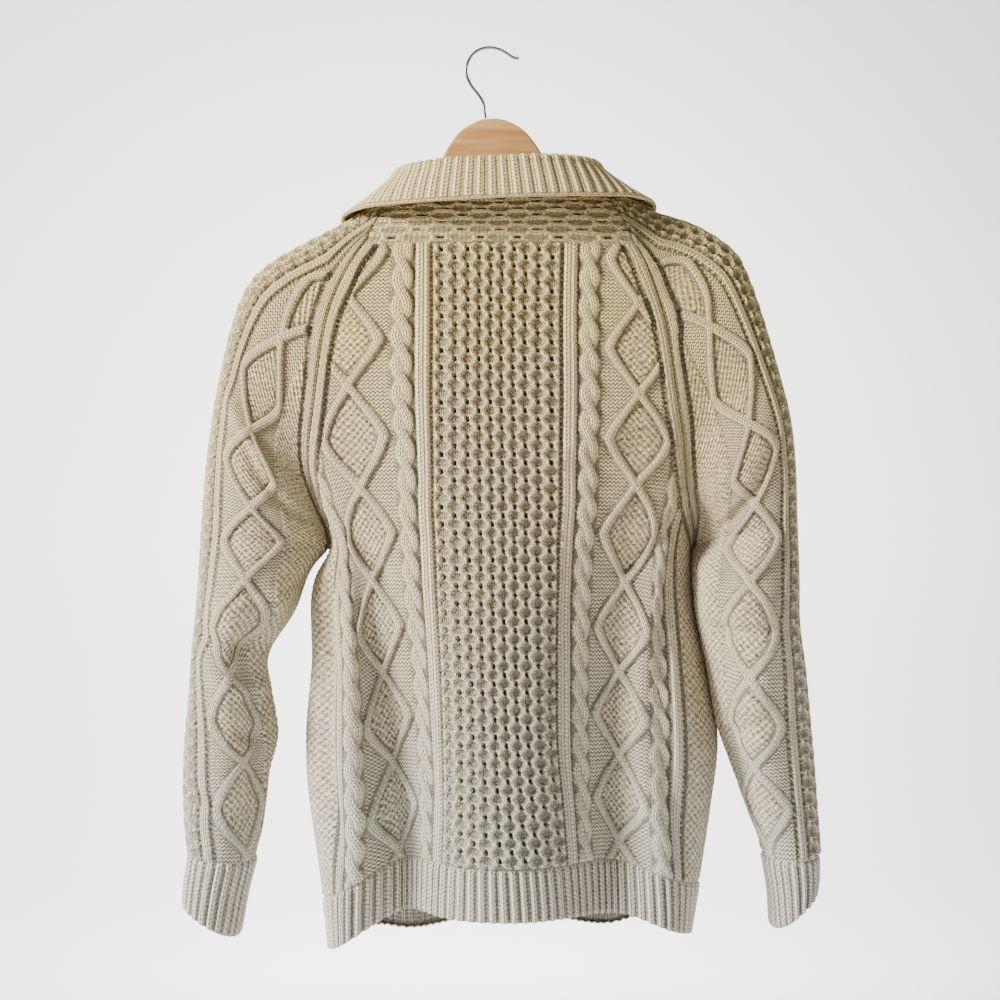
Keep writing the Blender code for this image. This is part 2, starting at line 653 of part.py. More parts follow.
def run_progress(run, params):
    points = np.array([params[k] for k in run])
    lengths = np.concatenate([[0], np.cumsum(np.linalg.norm(np.diff(points, axis=0), axis=1))])
    return lengths / lengths[-1]


def zip_edges(outer, inner, outer_params, inner_params, offset):
    """Triangles of the wall's edge between one run of its outer rim and the same run of its inner rim."""
    faces = []
    a, b = run_progress(outer, outer_params), run_progress(inner, inner_params)
    i = j = 0
    while i < len(outer) - 1 or j < len(inner) - 1:
        if j == len(inner) - 1 or (i < len(outer) - 1 and a[i + 1] <= b[j + 1]):
            faces.append((outer[i + 1], outer[i], inner[j] + offset))
            i += 1
        else:
            faces.append((inner[j] + offset, inner[j + 1] + offset, outer[i]))
            j += 1
    return faces


def plain(across, along):
    return 0.0


def wale_face(domain, lines, margin, relief, kinks):
    wales = Wales(domain, margin, kinks)
    made = [wales.line(across, rows, relief) for across, rows in lines]
    wales.join([across for across, _ in lines], made)
    return wales


def build_wall(name, shade, domain, place, outer_lines, inner_lines, corners, relief, kinks=(),
               margin=SEAM_GAP / 2, inner_in=INNER_EDGE_IN):
    """A knitted wall: outer wale lines with relief, plain inner lines, and a rim between them.

    The lines are (across, rows) pairs; corners are (across, along) of the piece, and kinks the places across
    where its edge turns. place(across, along, out) gives points moved out from the sheet.
    """
    outer = wale_face(domain, outer_lines, margin, relief, kinks)
    first, last = outer_lines[0][0] + inner_in, outer_lines[-1][0] - inner_in
    inner_lines = [(float(min(max(across, first), last)), rows) for across, rows in inner_lines]
    inner = wale_face(domain, inner_lines, margin + inner_in, plain, kinks)
    close_wall(name, shade, place, outer, inner, corners)


def close_wall(name, shade, place, outer, inner, corners):
    """Joins the two faces of a wall along its rim, run by run between the piece's corners."""
    outer_params, inner_params = np.array(outer.params), np.array(inner.params)
    outer_points = place(outer_params[:, 0], outer_params[:, 1], np.array(outer.heights))
    inner_points = place(inner_params[:, 0], inner_params[:, 1], np.full(len(inner_params), -WALL))
    outer_runs = start_run(split_at_corners(rim_of(outer.faces), outer.params, corners), outer.params, corners[0])
    inner_runs = start_run(split_at_corners(rim_of(inner.faces), inner.params, corners), inner.params, corners[0])
    faces = list(outer.faces) + [tuple(k + len(outer_points) for k in face[::-1]) for face in inner.faces]
    for outer_run, inner_run in zip(outer_runs, inner_runs):
        faces += zip_edges(outer_run, inner_run, outer.params, inner.params, len(outer_points))
    make_object(name, shade, np.concatenate([outer_points, inner_points]), faces)


def make_object(name, shade, points, faces):
    """A mesh object from points in millimetres, its faces turned outward."""
    shape = bmesh.new()
    corners = [shape.verts.new(tuple(point * MM)) for point in np.asarray(points, float)]
    for face in faces:
        shape.faces.new([corners[k] for k in face])
    shape.normal_update()
    if shape.calc_volume(signed=True) < 0:
        bmesh.ops.reverse_faces(shape, faces=shape.faces)
    mesh = bpy.data.meshes.new(name)
    shape.to_mesh(mesh)
    shape.free()
    mesh.shade_smooth()
    mesh.set_sharp_from_angle(angle=math.radians(50))
    return add_object(name, shade, mesh)


def add_object(name, shade, data):
    item = bpy.data.objects.new(name, data)
    item.data.materials.append(MATERIALS[shade])
    bpy.context.scene.collection.objects.link(item)
    return item


# ------------------------------------------------------------------------------------ stitch relief

def honeycomb_height(across_turn, along_turn):
    """Ridges that meet beside each cell: high and low by turns along a column and across columns."""
    return RELIEF * (0.5 - 0.5 * math.cos(math.pi * (across_turn + along_turn)))


def cable_height(strand, along):
    """The two strands of a rope cable take turns to lie on top."""
    return RELIEF * (0.62 + 0.38 * strand * math.cos(2 * math.pi * along / CABLE_CROSSING))


def diamond_height(from_middle, along):
    """Two travelling lines that cross each other, like opposite triangular waves."""
    turn = (along / DIAMOND_PITCH) % 1.0
    line = DIAMOND_HALF * (1 - abs(2 * turn - 1))
    gap = abs(abs(from_middle) - line)
    return DIAMOND_RELIEF * max(0.0, 1 - gap / (DIAMOND_HALF / 2))


def body_lines(rows, crossing):
    """Wale lines on one side of a body panel beyond its honeycomb: flat distance, rows, height rule.

    Where no crossing rows are given, the cables are plain ridges.
    """
    strands = [lambda v: cable_height(1, v), lambda v: cable_height(-1, v)]
    if not crossing:
        crossing = rows
        strands = [lambda v: CABLE_RELIEF] * 2
    lines = [
        (59.5, rows, None),
        (65.0, rows, lambda v: TWIST_RELIEF),
        (70.5, rows, None),
        (76.0, crossing, strands[0]),
        (87.0, crossing, strands[1]),
        (92.0, rows, None),
    ]
    for k in range(-2, 3):
        middle = k * DIAMOND_HALF / 2
        lines.append((BODY_DIAMOND + middle, DIAMOND_PITCH / 4, lambda v, m=middle: diamond_height(m, v)))
    lines += [
        (158.5, rows, None),
        (163.5, rows, lambda v: CABLE_RELIEF),
        (174.0, rows, lambda v: CABLE_RELIEF),
        (179.0, rows, None),
        (185.0, PANEL_ROWS, lambda v: TWIST_RELIEF),
        (190.5, PANEL_ROWS, None),
        (205.0, PANEL_ROWS, None),
        (220.0, PANEL_ROWS, None),
    ]
    return lines


def relief_from(table, edge, reach, covered=0.0):
    """Height of the stitches at a point: the line's own rule, dying out towards the piece's edges.

    Where another piece lies over the upper end, the covered length stays plain.
    """
    def relief(across, along):
        rule = table.get(round(across, 3))
        low, high = reach(across)
        near = min(along - low, high - along - covered)
        fade = min(max(near / edge, 0.0), 1.0)
        return (rule(along) if rule else 0.0) * fade
    return relief


# ---------------------------------------------------------------------------------------- body pieces

# Inner face: places across one side of a panel, closer where the cloth folds.
INNER_FLATS = (22.4, 44.8, 59.5, 76.0, 87.0, 99.0, 112.5, 126.0, 139.5, 153.0, 163.5, 174.0, 190.5, 205.0, 220.0,
               PANEL_HALF)
FRONT_FINE_FROM = 170.0    # from here to the side seam the fronts have all the rows
FRONT_INNER_FLATS = (17.0, 33.6, 56.0, 76.0, 99.0, 112.5, 126.0, 139.5, 153.0, 174.0, 190.5, 205.0, 220.0, PANEL_HALF)


def panel_domain(across):
    """Rows of the back that a wale reaches: from the welt up to the neck or the raglan seam."""
    side = 1 if across >= 0 else -1
    across = min(max(across, -PANEL_HALF), PANEL_HALF)
    top = raglan_height(abs(across), side)
    return 0.0, float(PANEL.rows(across, top)[0])


def panel_place(across, along, out):
    return BODY.at(across, PANEL.height(across, along), out)


def add_honeycomb(columns, outer, table, step=HONEYCOMB_ROW / 2):
    for k in columns:
        outer.append((k * HONEYCOMB_COLUMN, step))
        table[round(k * HONEYCOMB_COLUMN, 3)] = lambda v, turn=k: honeycomb_height(turn, v / step)


def build_back():
    table, outer = {}, []
    edge = PANEL_HALF - SEAM_GAP / 2
    add_honeycomb(range(-5, 6), outer, table)
    for side in (-1, 1):
        for flat, step, rule in body_lines(PANEL_ROWS, CABLE_CROSSING / 2):
            outer.append((side * flat, step))
            table[round(side * flat, 3)] = rule
        outer.append((side * edge, PANEL_ROWS))
    outer.sort()
    inner = [(flat, PANEL_ROWS) for flat in [-flat for flat in INNER_FLATS[::-1]] + [0.0] + list(INNER_FLATS)]
    right_corner, left_corner = -RAGLAN[0][2], RAGLAN[0][1]
    corners = [(-edge, 0.0), (edge, 0.0), (edge, panel_domain(edge)[1]), (left_corner, PANEL.length),
               (right_corner, PANEL.length), (-edge, panel_domain(-edge)[1])]
    build_wall("back", "body", panel_domain, panel_place, outer, inner, corners,
               relief_from(table, 9.0, panel_domain), (right_corner, left_corner))


def front_across(flat, side):
    """Flat distance from the middle of the front, as a coordinate of the body's ring."""
    return side * (2 * PANEL_HALF - np.asarray(flat, float))


def neckline(flat):
    """Height of the front's neck edge, curving up from the band to the raglan seam."""
    share = np.clip((flat - BAND_HALF) / (RAGLAN[0][1] - BAND_HALF), 0, 1)
    return NECK_FRONT_Z + (YOKE_TOP - NECK_FRONT_Z) * share ** 1.6


def front_domain_for(side):
    def domain(flat):
        flat = min(max(flat, BAND_HALF), PANEL_HALF)
        top = min(float(raglan_height(flat, side)), float(neckline(flat)))
        return 0.0, float(PANEL.rows(front_across(flat, side), top)[0])
    return domain


def front_place_for(side):
    def place(flat, along, out):
        across = front_across(flat, side)
        return BODY.at(across, PANEL.height(across, along), out)
    return place


def build_front(name, side):
    domain = front_domain_for(side)
    table, outer = {}, []
    edge = PANEL_HALF - SEAM_GAP / 2
    start = BAND_HALF + SEAM_GAP / 2
    outer.append((start, FRONT_ROWS))
    add_honeycomb(range(2, 6), outer, table, HONEYCOMB_ROW)
    for flat, step, rule in body_lines(FRONT_ROWS, None):
        outer.append((flat, step))
        table[round(flat, 3)] = rule
    outer.append((edge, PANEL_ROWS))
    outer.sort()
    corner = RAGLAN[0][1] if side > 0 else RAGLAN[0][2]
    corners = [(start, 0.0), (edge, 0.0), (edge, domain(edge)[1]), (corner, domain(corner)[1]),
               (start, domain(start)[1])]
    inner = [(flat, PANEL_ROWS if flat > FRONT_FINE_FROM else FRONT_ROWS) for flat in FRONT_INNER_FLATS]
    build_wall(name, "body", domain, front_place_for(side), outer, inner, corners,
               relief_from(table, 9.0, domain), (corner,))


def build_hem_rib(name, start, end, to_ring):
    """The welt under a panel: ribs stand in the wall's outer points."""
    def domain(across):
        return -HEM_RIB, 0.0

    def place(across, along, out):
        ring = to_ring(across)
        return BODY.at(ring, hem_height(ring) + HEM_RIB + along, out)
    count = int(round((end - start) / HEM_RIB_PITCH))
    spots = [float(spot) for spot in np.linspace(start, end, 2 * count + 1)]
    ribs = set(spots[1::2])

    def relief(across, along):
        return RIB_RELIEF if across in ribs else 0.0
    corners = [(start, -HEM_RIB), (end, -HEM_RIB), (end, 0.0), (start, 0.0)]
    lines = [(spot, ENDS_ONLY) for spot in spots]
    build_wall(name, "rib", domain, place, lines, lines[::2], corners, relief)


def build_band(name, side, lift, start):
    """A button band: the left one steps out to lie over the right one."""
    edge_across = front_across(BAND_HALF, side)
    foot = float(PANEL.rows(edge_across, hem_height(edge_across))[0])
    top = front_domain_for(side)(BAND_HALF)[1]
    end = BAND_HALF - SEAM_GAP / 2
    plain_place = front_place_for(side)

    def domain(flat):
        return foot, top

    def place(flat, along, out):
        return plain_place(flat, along, out + np.clip((end - 1.2 - flat) / 4.2, 0, 1) * lift)
    spots = [start, start + 4.5, start + 9, start + 13.5, 10.0, end - 1.2, end]
    spots = sorted({round(float(min(spot, end)), 3) for spot in spots})
    ribs = set(spots[1:-2:2])

    def relief(flat, along):
        return BAND_RELIEF if flat in ribs else 0.0
    corners = [(start, foot), (end, foot), (end, top), (start, top)]
    rows = (0.0,) + FRONT_ROWS
    inner = [(spot, rows) for spot in (start, (start + 9) / 2, 9.5, end - 1.6, end)]
    build_wall(name, "rib", domain, place, [(spot, rows) for spot in spots], inner, corners, relief)


# -------------------------------------------------------------------------------------- sleeve pieces

# Inner face: places across from the shoulder line, closer where the sleeve's section turns.
SLEEVE_INNER_FLATS = (20.0, 41.0, 54.5, 68.0, 81.5, 95.0, 112.0, 127.0, 142.0)
SLEEVE_LAST = 14.0         # from the underarm point back to the last wale line


def build_sleeve(name, side):
    sleeve = SLEEVES[side]
    table, outer = {}, []
    add_honeycomb(range(-1, 2), outer, table, HONEYCOMB_ROW)
    half_lines = [(20.0, SLEEVE_ROWS, None), (30.0, SLEEVE_ROWS, lambda v: TWIST_RELIEF)]
    for k in range(-2, 3):
        middle = k * DIAMOND_HALF / 2
        half_lines.append((SLEEVE_DIAMOND + middle, DIAMOND_PITCH / 4, lambda v, m=middle: diamond_height(m, v)))
    last = sleeve.widest - SLEEVE_LAST
    tip = sleeve.widest - SLEEVE_MARGIN - 0.8
    half_lines += [(112.0, SLEEVE_ROWS, None), (127.0, SLEEVE_ROWS, None), (142.0, SLEEVE_ROWS, None),
                   (last, SLEEVE_ROWS, None), (tip, SEAM_STEP, None)]
    for turn in (-1, 1):
        for flat, step, rule in half_lines:
            outer.append((turn * flat, step))
            table[round(turn * flat, 3)] = rule
    outer.sort()
    wrist, neck = sleeve.width_at(sleeve.cuff_top), sleeve.width_at(sleeve.length)
    corners = [(-wrist, sleeve.cuff_top), (wrist, sleeve.cuff_top), (sleeve.widest, sleeve.underarm),
               (neck, sleeve.length), (-neck, sleeve.length), (-sleeve.widest, sleeve.underarm)]
    inner = [(turn * flat, SLEEVE_ROWS) for turn in (-1, 1) for flat in SLEEVE_INNER_FLATS + (last,)]
    inner += [(0.0, SLEEVE_ROWS), (-tip, SEAM_STEP), (tip, SEAM_STEP)]
    build_wall(name, "body", sleeve.reach, sleeve.sheet.at, outer, sorted(inner), corners,
               relief_from(table, 9.0, sleeve.reach, COLLAR_COVER), (-wrist, -neck, neck, wrist), SLEEVE_MARGIN,
               SLEEVE_INNER_IN)


def build_cuff(name, side):
    """The ribbed cuff: its wales keep their share of the width, here in hundredths of the half width."""
    sleeve = SLEEVES[side]
    edge = 99.86

    def domain(share):
        return 0.0, sleeve.cuff_top

    def place(share, along, out):
        return sleeve.sheet.at(share / 100 * sleeve.width_at(along), along, out)
    count = int(round(2 * sleeve.width_at(sleeve.cuff_top) / HEM_RIB_PITCH))
    spots = [float(spot) for spot in np.linspace(-edge, edge, 2 * count + 1)]
    ribs = set(spots[1::2])

    def relief(share, along):
        return CUFF_RELIEF if share in ribs else 0.0
    corners = [(-edge, 0.0), (edge, 0.0), (edge, sleeve.cuff_top), (-edge, sleeve.cuff_top)]
    lines = [(spot, ENDS_ONLY) for spot in spots]
    build_wall(name, "rib", domain, place, lines, lines[::2], corners, relief)


# ------------------------------------------------------------------------------------- neck and collar

def curve_through(points, shares):
    """A smooth curve through points, read at shares of its length."""
    points = np.array(points, float)
    lengths = np.concatenate([[0], np.cumsum(np.linalg.norm(np.diff(points, axis=0), axis=1))])
    return smooth(lengths / lengths[-1], points, shares)


def neck_strip_net():
    """The strip that the sleeves carry across the back of the neck, between four edges."""
    s = np.linspace(0, 1, 61)
    t = np.linspace(0, 1, 21)
    left, right = SLEEVES[1], SLEEVES[-1]
    corner_left, corner_right = RAGLAN[0][1], RAGLAN[0][2]
    flats = -corner_right + (corner_left + corner_right) * s
    foot = BODY.at(flats, np.full_like(flats, YOKE_TOP))
    ends = []
    for side, sleeve in ((-1, right), (1, left)):
        width = sleeve.width_at(sleeve.length)
        run = width - (width - STRIP_TOP_FLAT) * t
        ends.append(sleeve.sheet.at(run, np.full_like(run, sleeve.length)))
    middle = np.array([foot[30, 0] - 1.5, 37.0, NECK_BACK_TOP])
    head_points = [ends[0][-1], (ends[0][-1] * 0.45 + middle * 0.55) + (0, 8.0, -0.5), middle,
                   (ends[1][-1] * 0.45 + middle * 0.55) + (0, 8.0, -0.5), ends[1][-1]]
    head = curve_through(head_points, s)
    s3, t3 = s[None, :, None], t[:, None, None]
    corners = (foot[0] * (1 - s3) * (1 - t3) + foot[-1] * s3 * (1 - t3)
               + ends[0][-1] * (1 - s3) * t3 + ends[1][-1] * s3 * t3)
    net = (foot[None] * (1 - t3) + head[None] * t3 + ends[0][:, None] * (1 - s3) + ends[1][:, None] * s3 - corners)
    return s * NECK_STRIP_LENGTH - NECK_STRIP_LENGTH / 2, t * NECK_STRIP_WIDTH, net, np.array([0.0, 1.0, 0.3])


def build_neck_strip():
    sheet = Sheet(*neck_strip_net())
    edge, top = NECK_STRIP_LENGTH / 2 - STRIP_END_GAP, NECK_STRIP_WIDTH

    def domain(across):
        return 0.0, top
    count = 2 * int(round(edge / NECK_CELL))
    outer = [(float(spot), NECK_STRIP_WIDTH / 5) for spot in np.linspace(-edge, edge, count + 1)]
    order = {spot: k for k, (spot, _) in enumerate(outer)}

    def relief(across, along):
        inside = 8 < along < top - 4 and abs(across) < edge - 6
        return 2.0 * ((order[across] + round(along / (NECK_STRIP_WIDTH / 5))) % 2) if inside else 0.0
    corners = [(-edge, 0.0), (edge, 0.0), (edge, top), (-edge, top)]
    inner = [(spot, (NECK_STRIP_WIDTH / 2,)) for spot in np.linspace(-edge, edge, 17)]
    build_wall("back_neck_strip", "body", domain, sheet.at, outer, inner, corners, relief)


def collar_net():
    """The collar's section at places along it: outer edge, over the fold, down inside to the neck seam."""
    s = np.linspace(-1, 1, 181)
    along = np.abs(s)
    shares = column(COLLAR_COLUMNS, COLLAR, "along")
    guides = []
    for part in ("edge", "fold", "seam"):
        places = np.stack([column(COLLAR_COLUMNS, COLLAR, f"{part}_{axis}") for axis in "xyz"], axis=-1)
        mirrored = np.concatenate([places[:0:-1] * (-1, 1, 1), places])
        keys = np.concatenate([-shares[:0:-1], shares])
        guides.append(smooth(keys, mirrored, s))
    edge, fold, seam = guides
    edge[:, 0] += COLLAR_SHIFT
    fold[:, 0] += COLLAR_SHIFT
    seam[:, 0] += COLLAR_SHIFT
    edge, fold, seam = tilt(edge), tilt(fold), tilt(seam)
    outward = unit((edge - seam) * (1, 1, 0.25))
    run = unit(np.gradient(fold, axis=0))
    outward = unit(outward - run * np.sum(outward * run, axis=1, keepdims=True))
    fall_top = fold + outward * FOLD_HALF + (edge - fold) * 0.10
    stand_top = fold - outward * FOLD_HALF + (seam - fold) * 0.12
    rows = []
    t = np.linspace(0, 1, 17)[:, None, None]
    # Fall, bellied out a little, then round the fold, then the stand.
    belly = edge * 0.5 + fall_top * 0.5 + outward * 3.0
    rows.append((edge * (1 - t) ** 2 + 2 * belly * t * (1 - t) + fall_top * t * t)[:-1])
    rise = unit(np.cross(run, outward))
    lift = rise * np.sign(rise[:, 2:]) * FOLD_HALF * 1.25
    rows.append((fall_top * (1 - t) ** 3 + 3 * (fall_top + lift) * t * (1 - t) ** 2
                 + 3 * (stand_top + lift) * t * t * (1 - t) + stand_top * t ** 3)[:-1])
    rows.append(stand_top * (1 - t) + seam * t)
    net = np.concatenate(rows)
    steps = np.linalg.norm(np.diff(net[:, 90], axis=0), axis=1)
    down = np.concatenate([[0], np.cumsum(steps)])
    length = np.concatenate([[0], np.cumsum(np.linalg.norm(np.diff(net[4], axis=0), axis=1))])
    axis = (fold + seam + edge) / 3
    return length - length[-1] / 2, down, net, axis


def build_collar():
    across, down, net, axis = collar_net()
    outward = net - axis[None]
    sheet = Sheet(across, down, net, outward)
    edge, top = across[-1], down[-1]
    breaks = [0.0, down[16], down[21], down[27], down[32], top]

    def domain(spot):
        return 0.0, top
    count = int(round(2 * edge / COLLAR_RIB_PITCH))
    spots = [float(spot) for spot in np.linspace(-edge, edge, 2 * count + 1)]
    inner_spots = [float(spot) for spot in np.linspace(-edge + 1, edge - 1, COLLAR_INNER_LINES)]
    parts = []
    for places, out in ((spots, True), (inner_spots, False)):
        wales = Wales(domain, 0.0)
        lines = []
        for k, spot in enumerate(places):
            line = []
            for row, value in enumerate(breaks):
                edge_in = 0.0 if out else INNER_EDGE_IN
                value = float(min(max(value, edge_in), top - edge_in))
                raised = COLLAR_RELIEF * (k % 2) * COLLAR_ROW_RELIEF[row] if out else 0.0
                line.append(wales.vertex(spot, value, raised))
            lines.append(line)
        for left, right in zip(lines, lines[1:]):
            wales.fill(left, right)
        parts.append(wales)
    corners = [(-edge, 0.0), (edge, 0.0), (edge, top), (-edge, top)]
    close_wall("collar", "rib", sheet.at, *parts, corners)


# ----------------------------------------------------------------------------------- buttons and hanger

def build_buttons():
    place = front_place_for(1)
    top = front_domain_for(1)(BAND_HALF)[1]
    for k in range(BUTTONS):
        row = top - 14.0 - k * (top - 30.0) / (BUTTONS - 1)
        spot = place(np.array([0.0]), np.array([row]), np.array([0.0]))[0]
        normal = unit(BODY.read(BODY.normals, np.array([2 * PANEL_HALF]), np.array([spot[2]]))[0])
        base = spot + normal * (BAND_LIFT + BAND_RELIEF + 0.45)
        side = unit(np.cross((0.0, 0.0, 1.0), normal))
        up = np.cross(normal, side)
        rings = ((BUTTON_RADIUS - 0.8, 0.0), (BUTTON_RADIUS, 1.0), (BUTTON_RADIUS - 0.6, BUTTON_THICKNESS),
                 (BUTTON_RADIUS - 3.0, BUTTON_THICKNESS - 1.0))
        turns = np.linspace(0, 2 * math.pi, BUTTON_SIDES, endpoint=False)
        points = [base]
        for radius, height in rings:
            points += [base + normal * height + (side * math.cos(a) + up * math.sin(a)) * radius for a in turns]
        points.append(base + normal * (BUTTON_THICKNESS - 1.0))
        faces = []
        last = len(points) - 1
        for i in range(BUTTON_SIDES):
            j = (i + 1) % BUTTON_SIDES
            faces.append((0, 1 + j, 1 + i))
            for ring in range(len(rings) - 1):
                a, b = 1 + ring * BUTTON_SIDES + i, 1 + ring * BUTTON_SIDES + j
                faces += [(a, b, b + BUTTON_SIDES), (a, b + BUTTON_SIDES, a + BUTTON_SIDES)]
            faces.append((last - BUTTON_SIDES + i, last - BUTTON_SIDES + j, last))
        make_object(f"button_{k + 1}", "button", points, faces)


def build_wood():
    """The hanger's arms in one piece of wood, its long edges rounded."""
    half = np.array(WOOD_OUTLINE, float)
    outline = np.concatenate([half, (half[-2:0:-1]) * (-1, 1)])
    ahead, behind = np.roll(outline, -1, axis=0) - outline, outline - np.roll(outline, 1, axis=0)
    sides = unit(ahead) + unit(behind)
    inward = unit(np.stack([sides[:, 1], -sides[:, 0]], axis=-1))
    rings = []
    for depth, inset in ((WOOD_THICKNESS / 2, WOOD_ROUNDING), (WOOD_THICKNESS / 2 - WOOD_ROUNDING, 0.0),
                         (WOOD_ROUNDING - WOOD_THICKNESS / 2, 0.0), (-WOOD_THICKNESS / 2, WOOD_ROUNDING)):
        flat = outline + inward * inset
        rings.append(tilt(np.stack([flat[:, 0], np.full(len(flat), depth), flat[:, 1]], axis=-1)))
    count = len(outline)
    shape = bmesh.new()
    corners = [[shape.verts.new(tuple(point * MM)) for point in ring] for ring in rings]
    for front, back in zip(corners, corners[1:]):
        for i in range(count):
            j = (i + 1) % count
            shape.faces.new((front[i], front[j], back[j]))
            shape.faces.new((front[i], back[j], back[i]))
    ends = [shape.faces.new(corners[0][::-1]), shape.faces.new(corners[-1])]
    bmesh.ops.triangulate(shape, faces=ends, quad_method="BEAUTY", ngon_method="BEAUTY")
    bmesh.ops.recalc_face_normals(shape, faces=shape.faces)
    mesh = bpy.data.meshes.new("hanger_wood")
    shape.to_mesh(mesh)
    shape.free()
    mesh.shade_smooth()
    mesh.set_sharp_from_angle(angle=math.radians(40))
    add_object("hanger_wood", "beech", mesh)


def build_hook():
    """The steel wire hook: a round wire along a bent line, its ends domed."""
    path = np.array(HOOK_LINE, float)
    lengths = np.concatenate([[0], np.cumsum(np.linalg.norm(np.diff(path, axis=0), axis=1))])
    at = np.linspace(0, lengths[-1], HOOK_POINTS)
    line = smooth(lengths, path, at)
    heading = unit(np.gradient(line, axis=0))
    across = np.stack([-heading[:, 1], heading[:, 0]], axis=-1)
    turns = np.linspace(0, 2 * math.pi, HOOK_SIDES, endpoint=False)
    radius = WIRE / 2
    points = []
    for centre, side in zip(line, across):
        for turn in turns:
            out = side * math.cos(turn) * radius
            points.append((centre[0] + out[0], math.sin(turn) * radius, centre[1] + out[1]))
    tips = []
    for centre, run in ((line[0], -heading[0]), (line[-1], heading[-1])):
        tips.append(len(points))
        points.append((centre[0] + run[0] * radius / 2, 0.0, centre[1] + run[1] * radius / 2))
    faces = []
    for k in range(HOOK_POINTS - 1):
        for i in range(HOOK_SIDES):
            j = (i + 1) % HOOK_SIDES
            a, b = k * HOOK_SIDES + i, k * HOOK_SIDES + j
            faces += [(a, b, b + HOOK_SIDES), (a, b + HOOK_SIDES, a + HOOK_SIDES)]
    end = (HOOK_POINTS - 1) * HOOK_SIDES
    for i in range(HOOK_SIDES):
        j = (i + 1) % HOOK_SIDES
        faces += [(tips[0], j, i), (tips[1], end + i, end + j)]
    make_object("hanger_hook", "steel", points, faces)


MATERIALS = {}


def main():
    for item in list(bpy.data.objects):
        bpy.data.objects.remove(item, do_unlink=True)
    for name, (colour, roughness, metallic) in SHADES.items():
        material = bpy.data.materials.new(name)
        material.use_nodes = True
        shader = material.node_tree.nodes["Principled BSDF"]
        shader.inputs["Base Color"].default_value = (*colour, 1.0)
        shader.inputs["Roughness"].default_value = roughness
        shader.inputs["Metallic"].default_value = metallic
        MATERIALS[name] = material
    build_back()
    build_front("left_front", 1)
    build_front("right_front", -1)
    edge = PANEL_HALF - SEAM_GAP / 2
    start = BAND_HALF + SEAM_GAP / 2
    build_hem_rib("back_hem_rib", -edge, edge, lambda across: across)
    build_hem_rib("left_front_hem_rib", start, edge, lambda flat: front_across(flat, 1))
    build_hem_rib("right_front_hem_rib", start, edge, lambda flat: front_across(flat, -1))
    build_band("left_front_band", 1, BAND_LIFT, -BAND_HALF)
    build_band("right_front_band", -1, 0.0, -BAND_HALF + 8.0)
    build_sleeve("left_sleeve", 1)
    build_sleeve("right_sleeve", -1)
    build_cuff("left_cuff", 1)
    build_cuff("right_cuff", -1)
    build_neck_strip()
    build_collar()
    build_buttons()
    build_wood()
    build_hook()


main()
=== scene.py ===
import math

import bpy
import numpy as np
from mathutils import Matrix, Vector


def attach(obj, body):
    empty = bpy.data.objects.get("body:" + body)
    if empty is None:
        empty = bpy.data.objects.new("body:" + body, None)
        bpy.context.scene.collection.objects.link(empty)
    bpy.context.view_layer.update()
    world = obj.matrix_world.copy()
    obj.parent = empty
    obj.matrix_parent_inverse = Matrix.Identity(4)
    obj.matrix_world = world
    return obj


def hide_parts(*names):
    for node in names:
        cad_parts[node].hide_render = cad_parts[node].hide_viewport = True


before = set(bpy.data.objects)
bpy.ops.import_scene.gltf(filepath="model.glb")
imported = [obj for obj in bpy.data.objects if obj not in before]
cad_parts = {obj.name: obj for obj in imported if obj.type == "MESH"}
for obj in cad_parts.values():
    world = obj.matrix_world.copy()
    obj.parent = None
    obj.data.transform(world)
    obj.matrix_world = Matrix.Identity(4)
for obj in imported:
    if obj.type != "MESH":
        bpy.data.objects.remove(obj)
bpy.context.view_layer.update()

# ------------------------------------------------------------------ camera
# The cardigan hangs with its back to the camera, which stands level with the middle of the back at
# 1.28 m, so that 1000 picture points across take in 0.93 m there.

camera = bpy.data.objects.new("camera", bpy.data.cameras.new("camera"))
camera.data.lens = 49.55
camera.data.clip_start = 0.05
camera.location = (-0.0116, 1.28, -0.4194)
camera.rotation_euler = (math.radians(90), 0, math.radians(180))
bpy.context.scene.collection.objects.link(camera)
bpy.context.scene.camera = camera

# -------------------------------------------------------------------- back
# The back panel, hand knitted from the welt up: honeycomb in the middle, then on each side a twisted
# column, a rope cable, moss-filled diamonds on purl, an outer cable, a twisted column and moss stitch.
# It is sewn to the sleeves along raglan seams, with three smooth wales and a ladder of holes beside each.

MM = 0.001
ROW = 3.85  # height of one row of knitting
WALE = 3.8  # width of one column of stitches
PANEL_HALF = 236.0  # middle line to side seam
PANEL_LENGTH = 554.0
HEM_RIB = 47.0
YOKE_TOP = -187.0  # height where the panels end at the neck
COLUMN_STEP = 1.5  # spacing of the mesh across the knitting
ROW_STEP = 1.85  # and along it, half a row
HONEYCOMB_COLUMN = 11.2
HONEYCOMB_ROW = 15.4
HONEYCOMB_HALF = 56.0
HONEYCOMB_SWING = 3.1  # how far a ridge leans from its column's edge to meet its neighbour
MOSS_STITCH = 3.5
MOSS_ROW = 3.3
CABLE_CROSSING = 52.0
SEAM_BAND = 10.5  # smooth wales beside the raglan seam
LADDER_END = 15.0  # the ladder of holes lies between those wales and here
SEAM_DIP = 2.4  # the cloth dips into a seam over this distance

# Columns of the chart on each side of the middle line: start, end, middle and half width.
INNER_TWIST = (57.0, 73.0, 65.2, 6.4)
INNER_CABLE = (72.5, 90.5, 81.5, 9.0)
DIAMONDS = (90.0, 157.0, 126.0, 28.0)
OUTER_CABLE = (157.0, 177.0, 167.0, 9.8)
OUTER_TWIST = (177.0, 189.5, 183.0, 4.2)
